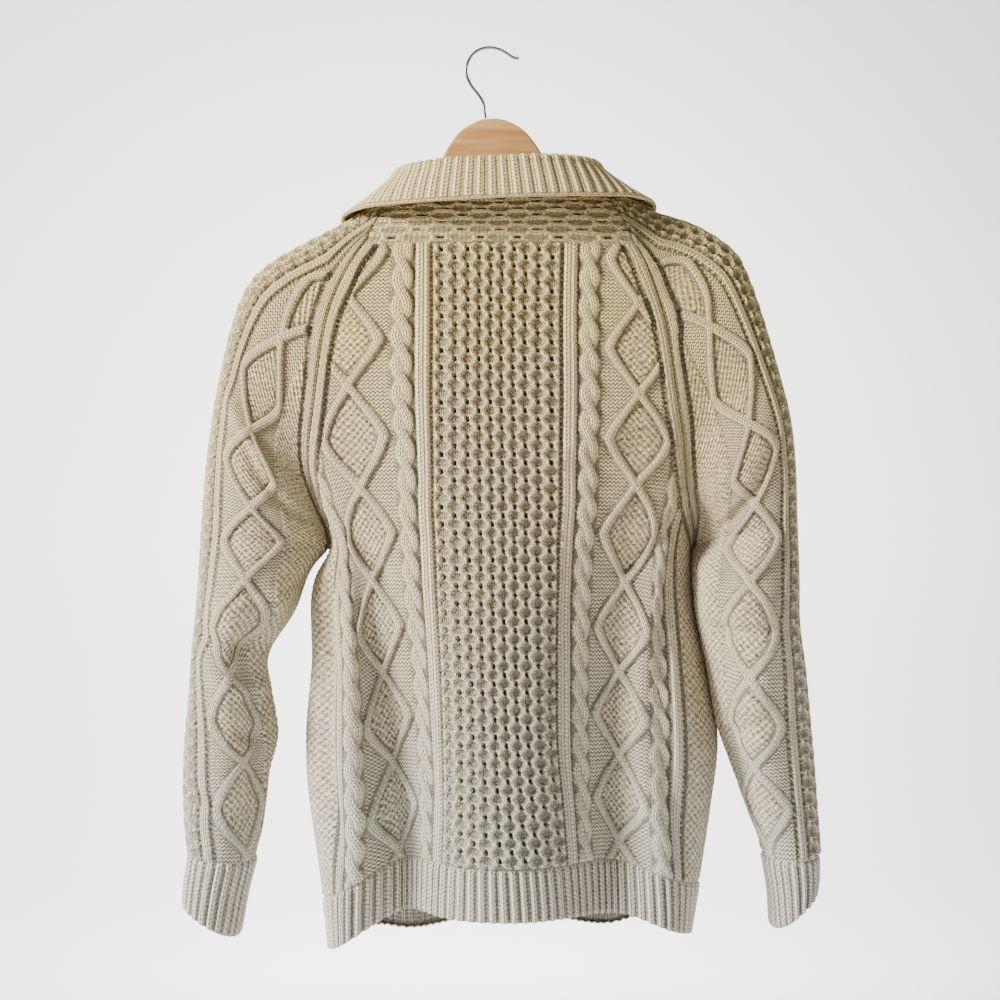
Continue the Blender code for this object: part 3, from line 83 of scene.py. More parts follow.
# Heights above the welt where the ridges of the diamonds meet, on the wearer's left (1) and right (-1).
DIAMOND_CROSSINGS = {1: (8.3, 88.8, 168.9, 251.6, 333.1, 424.2, 505.0, 585.0),
                     -1: (17.6, 94.8, 169.0, 248.7, 335.6, 416.6, 498.0, 580.0)}

# Chart across from the middle line to the side seam, and the body's ring at the same places.
CHART_ACROSS = (0.0, HONEYCOMB_HALF, 126.0, 168.0, PANEL_HALF)
RING_FLAT = (0.0, HONEYCOMB_HALF, 115.0, 168.0, PANEL_HALF)
RING_LENGTH = 4 * PANEL_HALF

# How the body hangs. Middle line: height z, then x and y.
BACK_MIDDLE = np.array((
    (-180, -9, 43), (-260, -8, 57), (-330, -8, 66), (-384, -9, 72), (-459, -10, 78),
    (-571, -11, 84), (-640, -13, 85), (-710, -16, 86), (-790, -20, 84), (-840, -21, 82),
), float)
# Height z, then x and y at the honeycomb's edge, the diamonds' middle, the outer cable and the side seam.
BACK_LEFT = np.array((
    (-180, 48, 42, 119, 36, 158, 20, 205, -24), (-260, 47, 55, 125, 49, 163, 38, 214, -6),
    (-330, 47, 64, 122, 56, 161, 48, 212, 0), (-384, 46, 69, 115, 57, 155, 48, 178, -6),
    (-421, 46, 71, 110, 56, 143, 47, 154, -6), (-459, 44, 72, 105, 54, 129, 50, 142, 0),
    (-490, 43, 72, 102, 52, 128, 51, 159, -2), (-571, 39, 73, 93, 47, 121, 58, 161, -2),
    (-640, 37, 72, 86, 43, 119, 60, 166, -2), (-710, 37, 70, 80, 40, 119, 62, 162, -2),
    (-790, 40, 66, 79, 38, 121, 61, 150, -2), (-840, 41, 64, 80, 38, 121, 60, 143, -2),
), float)
BACK_RIGHT = np.array((
    (-180, -66, 42, -138, 36, -178, 20, -225, -24), (-260, -64, 55, -135, 49, -175, 40, -227, -2),
    (-330, -64, 64, -135, 56, -175, 49, -228, 4), (-384, -63, 69, -133, 58, -173, 48, -204, -4),
    (-421, -63, 71, -131, 58, -167, 48, -195, -5), (-459, -61, 72, -126, 56, -158, 52, -188, 0),
    (-490, -61, 72, -123, 54, -156, 53, -189, -2), (-571, -61, 73, -118, 50, -155, 58, -203, -2),
    (-640, -62, 72, -118, 46, -156, 61, -214, -2), (-710, -67, 71, -118, 45, -156, 62, -206, -2),
    (-790, -73, 68, -120, 50, -160, 60, -192, -2), (-840, -74, 66, -120, 50, -160, 58, -182, -2),
), float)
# The fronts: height z, then y at the middle, the honeycomb's edge, the diamonds and the outer cable.
FRONT = np.array((
    (-180, -40, -38, -30, -22), (-260, -54, -51, -44, -38), (-330, -62, -60, -52, -46),
    (-384, -67, -64, -54, -48), (-459, -72, -68, -54, -50), (-571, -77, -71, -54, -56),
    (-640, -79, -72, -50, -58), (-710, -80, -72, -48, -60), (-840, -80, -72, -46, -58),
), float)
FRONT_SHARE = (0.0, 0.29, 0.57, 0.78)
# Height of the hem from the middle of the back round each side to the middle of the front.
HEM_LEFT = (-788, -788, -790, -810, -833, -832, -831, -830, -829)
HEM_RIGHT = (-788, -788, -789, -801, -819, -823, -827, -829, -829)
# The raglan seams: height, then the distance from the middle line on the left and the right.
RAGLAN = np.array((
    (-187, 107, 111), (-203, 116, 121), (-230, 129, 135), (-255, 139, 147), (-285, 148, 155),
    (-320, 157, 161), (-350, 165, 167), (-384, 176, 174), (-405, 187, 183), (-425, 202, 198),
    (-442, 220, 218), (-459, PANEL_HALF, PANEL_HALF),
), float)

# Folds: from across and along, to across and along, rise and half width. Those of the back lie beside
# the outer cables, below the armholes and across the small of the back.
BACK_CREASES = (
    (170, -20, 178, 330, -7.6, 9), (150, -10, 152, 280, 4.2, 10), (205, 20, 196, 300, 4.2, 11),
    (-192, -10, -188, 310, -6.8, 10), (-168, 0, -160, 250, 3.7, 11), (186, 318, 96, 236, -4.8, 9),
    (-186, 322, -104, 248, -4.4, 10), (62, 20, 74, 250, -3.1, 10), (-70, 40, -80, 290, -3.4, 11),
    (40, 330, 150, 380, -2.7, 12), (-36, 350, -150, 392, 2.7, 12),
)
FRONT_CREASES = (
    (60, -10, 48, 240, -5.4, 11), (120, 0, 132, 300, 4.4, 12), (176, -10, 184, 310, -6.5, 10),
    (190, 320, 100, 230, -4.4, 10), (30, 300, 90, 420, -3.4, 12),
)


def smooth(keys, values, at):
    """Cubic curve through rows of values at rising or falling keys, held at its ends."""
    if keys[0] > keys[-1]:
        keys, values = keys[::-1], values[::-1]
    at = np.clip(at, keys[0], keys[-1])
    slopes = np.gradient(values, keys, axis=0)
    i = np.clip(np.searchsorted(keys, at) - 1, 0, len(keys) - 2)
    step = (keys[i + 1] - keys[i])[:, None]
    t = (at - keys[i])[:, None] / step
    ahead = t * t * (3 - 2 * t)
    return (values[i] * (1 - ahead) + values[i + 1] * ahead
            + step * (slopes[i] * t * (1 - t) ** 2 - slopes[i + 1] * t * t * (1 - t)))


def unit(vectors):
    return vectors / np.maximum(np.linalg.norm(vectors, axis=-1, keepdims=True), 1e-9)


def even(start, end, step):
    return np.linspace(start, end, int((end - start) / step) + 1)


def stepped(start, end, step):
    """Places at whole steps from the start, and the end itself."""
    return np.append(np.arange(start, end, step), end)


class Sheet:
    """A smooth surface on a regular net: place and outward normal at (across, along), in millimetres."""

    def __init__(self, across, along, points, outward):
        self.across, self.along, self.points = across, along, points
        normals = unit(np.cross(np.gradient(points, across, axis=1), np.gradient(points, along, axis=0)))
        self.normals = normals * np.sign(np.sum(normals * outward))

    def read(self, net, across, along):
        i = np.clip(np.searchsorted(self.across, across) - 1, 0, len(self.across) - 2)
        j = np.clip(np.searchsorted(self.along, along) - 1, 0, len(self.along) - 2)
        s = ((across - self.across[i]) / (self.across[i + 1] - self.across[i]))[..., None]
        t = ((along - self.along[j]) / (self.along[j + 1] - self.along[j]))[..., None]
        return ((net[j, i] * (1 - s) + net[j, i + 1] * s) * (1 - t)
                + (net[j + 1, i] * (1 - s) + net[j + 1, i + 1] * s) * t)

    def normal(self, across, along):
        return unit(self.read(self.normals, across, along))

    def at(self, across, along, out=0.0):
        across, along = np.broadcast_arrays(np.asarray(across, float), np.asarray(along, float))
        lift = self.normal(across, along) * np.asarray(out, float)[..., None]
        return self.read(self.points, across, along) + lift


def ring_knots(z):
    """The ring's knots at heights z: flat coordinates, and places x, y and the hem's height."""
    middle = smooth(BACK_MIDDLE[:, 0], BACK_MIDDLE[:, 1:], z)
    front = smooth(FRONT[:, 0], FRONT[:, 1:], z)
    flats, knots = [], []
    for table, hem, sign in ((BACK_LEFT, HEM_LEFT, 1), (BACK_RIGHT, HEM_RIGHT, -1)):
        side = smooth(table[:, 0], table[:, 1:], z)
        x = [middle[:, 0], *side[:, ::2].T]
        x += [middle[:, 0] + (x[-1] - middle[:, 0]) * share for share in FRONT_SHARE[::-1]]
        y = [middle[:, 1], *side[:, 1::2].T, *front[:, ::-1].T]
        flat = [sign * f for f in RING_FLAT] + [sign * (2 * PANEL_HALF - f) for f in RING_FLAT[-2::-1]]
        for k in range(len(x)) if sign > 0 else range(len(x) - 2, 0, -1):
            flats.append(flat[k] % RING_LENGTH)
            knots.append(np.stack([x[k], y[k], np.full(len(z), float(hem[k]))], axis=-1))
    return np.array(flats), np.array(knots)


def closed_spline(keys, values, length, at):
    """Periodic cubic spline through values (knots first), read at flat coordinates."""
    n = len(keys)
    step = np.roll(keys, -1) - keys
    step[-1] += length
    before = np.roll(step, 1)
    matrix = (np.roll(np.diag(before), -1, axis=1) + np.diag(2 * (before + step))
              + np.roll(np.diag(step), 1, axis=1))
    shape = (-1,) + (1,) * (values.ndim - 1)
    slope = (np.roll(values, -1, axis=0) - values) / step.reshape(shape)
    turns = 6 * (slope - np.roll(slope, 1, axis=0))
    bend = np.linalg.solve(matrix, turns.reshape(n, -1)).reshape(values.shape)
    at = np.asarray(at, float) % length
    i = np.searchsorted(keys, at, side="right") - 1
    j = (i + 1) % n
    h = step[i].reshape(shape)
    t = ((at - keys[i]) / step[i]).reshape(shape)
    return (values[i] * (1 - t) + values[j] * t
            + h * h / 6 * (((1 - t) ** 3 - (1 - t)) * bend[i] + (t ** 3 - t) * bend[j]))


def body_sheet():
    z = np.arange(-844.0, -130.0, 4.0)
    across = np.linspace(-2 * PANEL_HALF, 2 * PANEL_HALF, 237)
    flats, knots = ring_knots(z)
    points = closed_spline(flats, knots, RING_LENGTH, across).transpose(1, 0, 2)
    points[..., 2] = z[:, None]
    return Sheet(across, z, points, points - points.mean(axis=1, keepdims=True))


BODY = body_sheet()
HEM_AT = np.linspace(-2 * PANEL_HALF, 2 * PANEL_HALF, 473)
hem_flats, hem_knots = ring_knots(np.array([-800.0]))
HEM_Z = closed_spline(hem_flats, hem_knots, RING_LENGTH, HEM_AT)[:, 0, 2]
RAGLAN_Z = np.linspace(RAGLAN[0, 0], RAGLAN[-1, 0], 137)
raglan_flat = np.maximum.accumulate(smooth(RAGLAN[:, 0], RAGLAN[:, 1:], RAGLAN_Z))
# It grows a little at each step, so that heights can be read from it.
raglan_flat += np.arange(len(RAGLAN_Z))[:, None] * 1e-6
RAGLAN_FLAT = {1: raglan_flat[:, 0], -1: raglan_flat[:, 1]}


def ring_of(chart):
    """The ring coordinate of a chart column: they differ a little between honeycomb and cable."""
    return np.sign(chart) * np.interp(np.abs(chart), CHART_ACROSS, RING_FLAT)


def foot_height(ring):
    return np.interp(ring, HEM_AT, HEM_Z) + HEM_RIB


def height_of(ring, rows):
    """World height of a row counted in millimetres up from the welt."""
    foot = foot_height(ring)
    return foot + (YOKE_TOP - foot) * rows / PANEL_LENGTH


def rows_of(ring, z):
    foot = foot_height(ring)
    return (z - foot) / (YOKE_TOP - foot) * PANEL_LENGTH


def raglan_height(flat, side):
    return np.interp(flat, RAGLAN_FLAT[side], RAGLAN_Z)


def raglan_seam(side, on_front):
    """A raglan seam as a line in the chart of the back or of a front."""
    picks = np.linspace(0, len(RAGLAN_Z) - 1, 46).astype(int)
    flat = RAGLAN_FLAT[side][picks]
    ring = side * (2 * PANEL_HALF - flat if on_front else flat)
    across = np.interp(flat, RING_FLAT, CHART_ACROSS) * (1 if on_front else side)
    return list(zip(across, rows_of(ring, RAGLAN_Z[picks])))


def bump_of(distance, half_width):
    """A rounded rise: one in the middle, nothing beyond its half width."""
    return np.maximum(0.0, 1 - (distance / half_width) ** 2)


class Stitches:
    """Height of the knitting over its wall, and what the wool's finish needs to draw single stitches.

    wale and rise are places in millimetres across and along the stitches. kind is 0 for knit, 1 for
    purl, 2 for moss and 3 for a ladder. The last field is painted shade: the share of the dark hole colour
    painted into grooves, ladders and holes where shade falls, 1 in an open hole.
    """

    def __init__(self, across, along):
        self.height = np.zeros(across.shape)
        self.wale = across.copy()
        self.rise = along.copy()
        self.kind = np.ones(across.shape)
        self.painted_shade = np.zeros(across.shape)

    def put(self, where, height=None, wale=None, rise=None, kind=None, painted_shade=None):
        for field, value in zip(vars(self).values(), (height, wale, rise, kind, painted_shade)):
            if value is not None:
                field[where] = np.broadcast_to(value, field.shape)[where]


def knit_moss(cloth, where, across, along, base=0.4):
    """Moss stitch: knots in a chequered pattern, one stitch wide and one row high."""
    knots = np.cos(math.pi * across / MOSS_STITCH) * np.cos(math.pi * along / MOSS_ROW)
    cloth.put(where, base + 0.7 * knots, across, along, 2.0, 0.0)


def knit_purl(cloth, where, across, along):
    # A little painted shade over all the purl.
    cloth.put(where, -0.6, across, along, 1.0, 0.06)


def knit_honeycomb(cloth, where, across, along, column=HONEYCOMB_COLUMN, row=HONEYCOMB_ROW,
                   swing=HONEYCOMB_SWING, high=2.9):
    """Ridges between the columns part round a sunken cell and meet over a hole, by turns."""
    cell = np.floor(across / column)
    from_middle = across - (cell + 0.5) * column
    turn = (along / row + np.where(cell % 2 == 0, 0.0, 0.5) + 0.5) % 1.0 - 0.5
    from_ridge = column / 2 + swing * np.cos(2 * math.pi * turn) - np.abs(from_middle)
    # The cell and the hole are ovals, measured as shares of the column's width and of the row's height.
    cell_across, cell_along, hole_across, hole_along = 0.43, 0.31, 0.15, 0.12
    out = np.hypot(from_middle / (column * cell_across), turn / cell_along)
    in_cell = np.clip((1.0 - out) / 0.25, 0, 1)
    hole_out = np.hypot(from_middle / (column * hole_across), (0.5 - np.abs(turn)) / hole_along)
    in_hole = np.clip((1.25 - hole_out) / 0.5, 0, 1)
    depth = column / HONEYCOMB_COLUMN
    dome = (-2.2 + 1.9 * (1 - np.minimum(out, 1) ** 2)) * depth ** 2
    height = high * (0.55 + 0.45 * bump_of(from_ridge, column * 0.25)) * (1 - in_cell) + dome * in_cell
    height = height * (1 - in_hole) - 3.6 * depth ** 2 * in_hole
    slit = np.exp(-(from_middle / (column * 0.07)) ** 2)
    # Painted shade: darker in the sunken cells, most at their rims and down their middles, and dark in the
    # holes.
    painted_shade = np.maximum(in_cell * (0.3 + 0.3 * np.minimum(out, 1) ** 2 + 0.3 * slit), in_hole)
    wale = np.where(in_cell > 0.5, from_middle * WALE / (column * 0.3), from_ridge * WALE / (column * 0.45))
    cloth.put(where, height, wale, along, 0.0, np.clip(painted_shade, 0, 1))


def in_column(column, away):
    """Where a column of the chart lies, how far from its middle each place is, and its half width."""
    start, end, middle, half = column
    return (away > start) & (away < end), away - middle, half


def knit_twist(cloth, column, away, along, lean):
    """A narrow column of twisted stitches, with a ladder of gaps down both its sides, sunk and painted dark.
    """
    where, off, half = in_column(column, away)
    rope = bump_of(off, half) ** 0.5
    wales = np.abs(np.sin(math.pi * off / half))
    # Painted shade between the wales, and the hole colour painted into the ladders.
    cloth.put(where, -0.9 + 1.7 * rope + 0.8 * wales, (off / half + 1) * WALE, along + lean * off * 0.4, 0.0,
              np.clip(0.35 * (1 - wales) - 0.05, 0, 1))
    cloth.put(where & (np.abs(off) >= half), -1.6, kind=3.0, painted_shade=0.8)


def knit_cable(cloth, column, away, along, side):
    """A rope of two strands that always cross the same way, leaning down to the right."""
    where, off, half = in_column(column, away)
    turn = 2 * math.pi * along / CABLE_CROSSING
    top = np.full(away.shape, -9.0)
    rope = np.zeros(away.shape)
    wale = away * side
    for strand in (0.0, math.pi):
        # Each strand swings from one side to the other, on top while it crosses.
        from_strand = side * off / half + 0.46 * np.cos(turn + strand)
        rounding = bump_of(from_strand, 0.6) ** 0.6
        lift = np.where(rounding > 0, 2.5 * rounding + 1.2 * np.sin(turn + strand), -9.0)
        over = lift > top
        top = np.where(over, lift, top)
        rope = np.where(over, rounding, rope)
        wale = np.where(over, from_strand * half * 0.9 + WALE, wale)
    # Painted shade beside the strands, deepest between them.
    cloth.put(where, np.maximum(top - 0.6, -1.2), wale, along, 0.0, np.clip(0.5 - 0.8 * rope, 0.0, 0.5))


def knit_diamonds(cloth, column, away, along, crossings, relief=1.0):
    """Two travelling ridges that cross and part, moss stitch inside them and purl outside."""
    where, off, half = in_column(column, away)
    marks = np.array(crossings)
    k = np.clip(np.searchsorted(marks, along) - 1, 0, len(marks) - 2)
    turn = (along - marks[k]) / (marks[k + 1] - marks[k]) % 1.0
    ridge_line = half * (0.55 * (1 - np.abs(2 * turn - 1)) + 0.45 * np.sin(math.pi * turn) ** 1.2)
    knit_purl(cloth, where, away, along)
    knit_moss(cloth, where & (np.abs(off) < ridge_line - 3.5), off, along, 0.1)
    # Distance from the ridge square to it, as it slants.
    slant, ridge_half, shadow_end = 0.82, 4.4, 6.0
    from_ridge = (np.abs(off) - ridge_line) * slant
    aside = np.abs(from_ridge)
    ridge = bump_of(aside, ridge_half) ** 0.7
    groove = np.exp(-(aside / 0.55) ** 2)
    # Painted shade beside the ridges and, past them, in a strip of shadow.
    cloth.put(where & (aside < ridge_half), 0.1 + relief * (2.6 * ridge - 0.4 * groove), from_ridge,
              along * 1.15, 0.0, 0.22 * (1 - ridge) + 0.06 * groove)
    cloth.put(where & (aside >= ridge_half) & (aside < shadow_end), -1.0, painted_shade=0.22)


def knit_seam_band(cloth, seam, across, along):
    """Smooth wales that follow a raglan seam, a line in the chart, and a ladder of holes beyond them."""
    distance = np.full(across.shape, 1e9)
    run = np.zeros(across.shape)
    before = 0.0
    for (x0, y0), (x1, y1) in zip(seam, seam[1:]):
        length = math.hypot(x1 - x0, y1 - y0)
        ux, uy = (x1 - x0) / length, (y1 - y0) / length
        t = np.clip((across - x0) * ux + (along - y0) * uy, 0, length)
        aside = np.hypot(across - x0 - ux * t, along - y0 - uy * t)
        closer = aside < distance
        distance = np.where(closer, aside, distance)
        run = np.where(closer, before + t, run)
        before += length
    band_wale = SEAM_BAND / 3
    rounding = np.abs(np.sin(math.pi * distance / band_wale))
    dip = np.clip(1 - distance / 2.2, 0, 1)
    # Painted shade between the wales and into the seam, and dark in the ladder's holes.
    cloth.put(distance < SEAM_BAND, 0.9 + 1.1 * rounding - 2.6 * dip, distance * WALE / band_wale, run, 0.0,
              np.clip(0.22 * (1 - rounding) + 0.4 * dip, 0, 1))
    cloth.put((distance >= SEAM_BAND) & (distance < LADDER_END), -1.6, rise=run, kind=3.0, painted_shade=0.8)


def add_creases(cloth, across, along, creases):
    """Soft troughs and rises of the hanging cloth along short lines, dying out at both ends."""
    for x, y, to_x, to_y, rise, half_width in creases:
        run_x, run_y = to_x - x, to_y - y
        length = math.hypot(run_x, run_y)
        past = ((across - x) * run_x + (along - y) * run_y) / length ** 2
        aside = ((across - x) * run_y - (along - y) * run_x) / length
        # The line bows a little, as folds in heavy knitting do.
        aside = aside - 0.07 * length * np.sin(math.pi * np.clip(past, 0, 1))
        ends = np.clip(np.minimum(past, 1 - past) / 0.28, 0, 1)
        cloth.height += rise * np.exp(-(aside / half_width) ** 2) * ends ** 2 * (3 - 2 * ends)


def body_stitches(across, along, side, on_front=False):
    """The stitch chart of a body panel: across from its middle line, along up from the welt."""
    cloth = Stitches(across, along)
    away = np.abs(across)
    knit_purl(cloth, away > 0, away, along)
    knit_honeycomb(cloth, away < HONEYCOMB_HALF + 1.5, across, along)
    knit_twist(cloth, INNER_TWIST, away, along, side)
    knit_diamonds(cloth, DIAMONDS, away, along, DIAMOND_CROSSINGS[side])
    knit_cable(cloth, INNER_CABLE, away, along, side)
    knit_cable(cloth, OUTER_CABLE, away, along, side)
    knit_twist(cloth, OUTER_TWIST, away, along, side)
    knit_moss(cloth, away >= OUTER_TWIST[1], away, along)
    knit_seam_band(cloth, raglan_seam(side, on_front), across, along)
    add_creases(cloth, across, along, FRONT_CREASES if on_front else BACK_CREASES)
    return cloth


def back_stitches(across, along):
    cloth, right = (body_stitches(across, along, side) for side in (1, -1))
    for name, field in vars(cloth).items():
        field[across < 0] = getattr(right, name)[across < 0]
    return cloth


# Aran wool: thick, loosely spun, undyed cream yarn. Its stitches have a soft sheen from loose fibres and
# a plied thread that speckles it. Shade is painted into its colour: darker in the grooves between the
# stitches, and dark in the holes of the pattern.

def linear(code):
    """An sRGB hex colour as linear red, green, blue and alpha."""
    parts = [int(code[k:k + 2], 16) / 255 for k in (1, 3, 5)]
    return (*[p / 12.92 if p <= 0.04045 else ((p + 0.055) / 1.055) ** 2.4 for p in parts], 1.0)


def set_inputs(tree, item, **inputs):
    """Sets inputs, given by name or as i and a number, to values or links them to other nodes' sockets."""
    for key, value in inputs.items():
        spot = item.inputs[int(key[1:]) if key[1:].isdigit() else key.replace("_", " ")]
        if isinstance(value, bpy.types.NodeSocket):
            tree.links.new(value, spot)
        else:
            spot.default_value = value


def add_node(tree, kind, settings=(), **inputs):
    item = tree.nodes.new(kind)
    for key, value in dict(settings).items():
        setattr(item, key, value)
    set_inputs(tree, item, **inputs)
    return item


def new_material(name):
    material = bpy.data.materials.new(name)
    material.use_nodes = True
    return material, material.node_tree, material.node_tree.nodes["Principled BSDF"]


def noise(tree, place, scale, detail, roughness=0.5):
    return add_node(tree, "ShaderNodeTexNoise", Vector=place, Scale=scale, Detail=detail,
                    Roughness=roughness).outputs[0]


def ramp(tree, share, low, high, start=0.0, end=1.0):
    """The colour that blends from low to high as the share goes from start to end."""
    item = add_node(tree, "ShaderNodeValToRGB", i0=share)
    for stop, colour, position in zip(item.color_ramp.elements, (low, high), (start, end)):
        stop.position = position
        stop.color = linear(colour)
    return item.outputs[0]


# light is the yarn's own colour; groove and hole are painted shade, for the grooves between stitches and for
# holes.
def wool(name, light, groove, hole):
    material, tree, shader = new_material(name)

    def maths(operation, a, b=0.0, c=0.0):
        return add_node(tree, "ShaderNodeMath", {"operation": operation}, i0=a, i1=b, i2=c).outputs[0]

    def waves(value, length):
        """A cosine of the given length, from 0 to 1."""
        turned = maths("MULTIPLY_ADD", value, 2 * math.pi / length)
        return maths("MULTIPLY_ADD", maths("COSINE", turned), 0.5, 0.5)

    def clamp(value):
        return add_node(tree, "ShaderNodeClamp", i0=value).outputs[0]

    def mix(share, low, high):
        return add_node(tree, "ShaderNodeMix", i0=share, i2=low, i3=high).outputs[0]

    def mix_colours(share, low, high, blend="MIX"):
        return add_node(tree, "ShaderNodeMix", {"data_type": "RGBA", "blend_type": blend},
                        i0=share, i6=low, i7=high).outputs[2]
    stitch = add_node(tree, "ShaderNodeAttribute", {"attribute_name": "stitch"}).outputs["Vector"]
    # Painted shade: the share of the dark hole colour painted into grooves, ladders and holes.
    painted_shade = add_node(tree, "ShaderNodeAttribute", {"attribute_name": "painted_shade"}).outputs["Fac"]
    across, along, kind = add_node(tree, "ShaderNodeSeparateXYZ", i0=stitch).outputs
    spot = add_node(tree, "ShaderNodeTexCoord").outputs["Object"]
    # Knit: two legs to a wale that lean together, one V a row.
    place = maths("FRACT", maths("DIVIDE", across, WALE))
    from_middle = maths("ABSOLUTE", maths("MULTIPLY_ADD", place, 2.0, -1.0))
    leg = maths("POWER", maths("MAXIMUM", maths("SINE", maths("MULTIPLY", from_middle, math.pi)), 0.0), 0.5)
    vee = waves(maths("SUBTRACT", maths("DIVIDE", along, ROW), maths("MULTIPLY", from_middle, 0.62)), 1.0)
    knit = maths("MULTIPLY", leg, maths("MULTIPLY_ADD", vee, 0.55, 0.45))
    # Purl: wavy rows of loops.
    swing = maths("MULTIPLY", waves(across, WALE), 0.46)
    purl = maths("POWER", waves(maths("ADD", maths("DIVIDE", along, 3.5), swing), 1.0), 0.8)
    # Moss: single knots, one up and one down by turns.
    loose = noise(tree, spot, 150.0, 1.0)
    shifted = maths("MULTIPLY", maths("MULTIPLY_ADD", loose, 5.0, across), math.pi / MOSS_STITCH)
    raised = maths("MULTIPLY", maths("MULTIPLY_ADD", loose, -3.6, along), math.pi / MOSS_ROW)
    chequer = maths("MULTIPLY", maths("COSINE", shifted), maths("COSINE", raised))
    moss = maths("MULTIPLY_ADD", chequer, 0.42, 0.5)
    moss_shade = maths("MULTIPLY_ADD", chequer, 0.24, 0.33)
    is_purl, is_moss, is_ladder = (clamp(maths("SUBTRACT", kind, float(k))) for k in range(3))
    height = mix(is_moss, mix(is_purl, knit, purl), moss)
    # The yarn's own plies and fibres.
    plies = noise(tree, spot, 620.0, 3.0, 0.75)
    bump = add_node(tree, "ShaderNodeBump", Strength=1.0, Distance=0.0021,
                    Height=maths("MULTIPLY_ADD", plies, 0.55, height))
    # Painted shade: the colour darkens with the stitches' height, into the grooves between them; the plies
    # add the yarn's own speckle.
    speckle = maths("MULTIPLY_ADD", is_moss, 0.9, 1.3)
    shade = maths("MULTIPLY_ADD", maths("SUBTRACT", plies, 0.5), speckle, mix(is_moss, height, moss_shade))
    # Painted light: warmer round the neck and greyer towards the hem and cuffs, the tint of the light painted
    # into the colour by height.
    light_tint_height = add_node(tree, "ShaderNodeSeparateXYZ", i0=spot).outputs[2]
    light_tint_height = maths("MULTIPLY_ADD", noise(tree, spot, 9.0, 2.0), 0.25, light_tint_height)
    light_tint_height = add_node(tree, "ShaderNodeMapRange", i0=light_tint_height, i1=-0.62, i2=-0.10).outputs[0]
    tinted = mix_colours(1.0, ramp(tree, clamp(shade), groove, light, end=0.7),
                         ramp(tree, light_tint_height, "#EAEFFB", "#FFECBA"), "MULTIPLY")
    # A ladder's gaps are painted dark as shade between the strands that cross it.
    gaps = mix(is_ladder, 1.0, maths("MULTIPLY_ADD", waves(along, 4.4), 0.75, 0.25))
    dark = mix_colours(maths("MULTIPLY", painted_shade, gaps), tinted, linear(hole))
    set_inputs(tree, shader, Base_Color=dark, Normal=bump.outputs[0], Roughness=0.92, Specular_IOR_Level=0.2,
               Sheen_Weight=0.3, Sheen_Roughness=0.6, Sheen_Tint=linear("#F4EAD2"))
    return material


# Cream yarn, with painted shade in the grooves and in the holes.
aran_wool = wool("undyed_aran_wool", "#FBEFD2", "#675A3E", "#1E170A")


def add_piece(node, made, material, points, faces):
    """A smooth mesh, given in millimetres, that rides on the body in place of its node."""
    mesh = bpy.data.meshes.new(f"{node}_{made}")
    mesh.from_pydata((np.asarray(points) * MM).tolist(), [], faces)
    mesh.shade_smooth()
    mesh.materials.append(material)
    piece = bpy.data.objects.new(mesh.name, mesh)
    bpy.context.scene.collection.objects.link(piece)
    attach(piece, "root")
    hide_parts(node)
    return piece


def knit_piece(name, slot, across, along, low, high, place, stitches, flat, shaped=False, held="hung",
               rests_on=(), sewn=("low", "high", "first", "last")):
    """A knitted piece: columns of points from low to high at each place across, raised by its stitches.

    The rows stop at the piece's edge, so that its outline is exact. At its sewn edges the cloth dips
    into the seam. The flat and shaped arguments are not used.
    """
    c, v = np.meshgrid(across, along)
    v = np.clip(v, low, high)
    # The row that passes a column's end holds the end itself, and later ones repeat its number.
    top = np.argmax(v >= high - 1e-6, axis=0)
    bottom = len(v) - 1 - np.argmax((v <= low + 1e-6)[::-1], axis=0)
    rows = np.clip(np.arange(len(v))[:, None], bottom, top)
    index = rows * len(across) + np.arange(len(across))
    cloth = stitches(c, v)
    gaps = {"low": v - low, "high": high - v, "first": c - across[0], "last": across[-1] - c}
    near = np.minimum.reduce([np.clip(gaps[end] / SEAM_DIP, 0, 1) for end in sewn])
    points = place(c, v, cloth.height * near - 1.2 * (1 - near)).reshape(-1, 3)
    quads = np.stack([index[:-1, :-1], index[:-1, 1:], index[1:, 1:], index[1:, :-1]], axis=-1).reshape(-1, 4)
    # Where a column has ended, quads shrink to triangles or to nothing.
    same = quads == np.roll(quads, -1, axis=1)
    count = same.sum(axis=1)
    triangles = [np.delete(quads[(count == 1) & same[:, k]], k, axis=1) for k in range(4)]
    quads, triangles = quads[count == 0], np.concatenate(triangles)
    used, corners = np.unique(np.concatenate([quads.ravel(), triangles.ravel()]), return_inverse=True)
    faces = corners[:quads.size].reshape(-1, 4).tolist() + corners[quads.size:].reshape(-1, 3).tolist()
    piece = add_piece(name, "knitting", aran_wool, points[used], faces)
    stitch = np.stack([cloth.wale, cloth.rise, cloth.kind], axis=-1).reshape(-1, 3)[used]
    # The stitches and the painted shade go onto the mesh for the wool's finish.
    for field, kind, key, values in (("stitch", "FLOAT_VECTOR", "vector", stitch),
                                     ("painted_shade", "FLOAT", "value", cloth.painted_shade.ravel()[used])):
        data = piece.data.attributes.new(field, kind, "POINT").data
        data.foreach_set(key, values.ravel().astype(np.float32))
    # The finish is laid out as the piece was knitted, flat.
    layout = np.stack([c.ravel()[used], v.ravel()[used]], axis=-1)
    layout = (layout - layout.min(axis=0)) / np.ptp(layout, axis=0) * 0.98 + 0.01
    data = piece.data.uv_layers.new(name="OFBake").data
    data.foreach_set("uv", layout[corners].ravel().astype(np.float32))


def on_body(ring_at):
    """Lays a body panel's chart on the body, given the ring coordinate of each of its columns."""
    def place(chart, rows, out):
        ring = ring_at(chart)
        return BODY.at(ring, height_of(ring, rows), out)
    return place


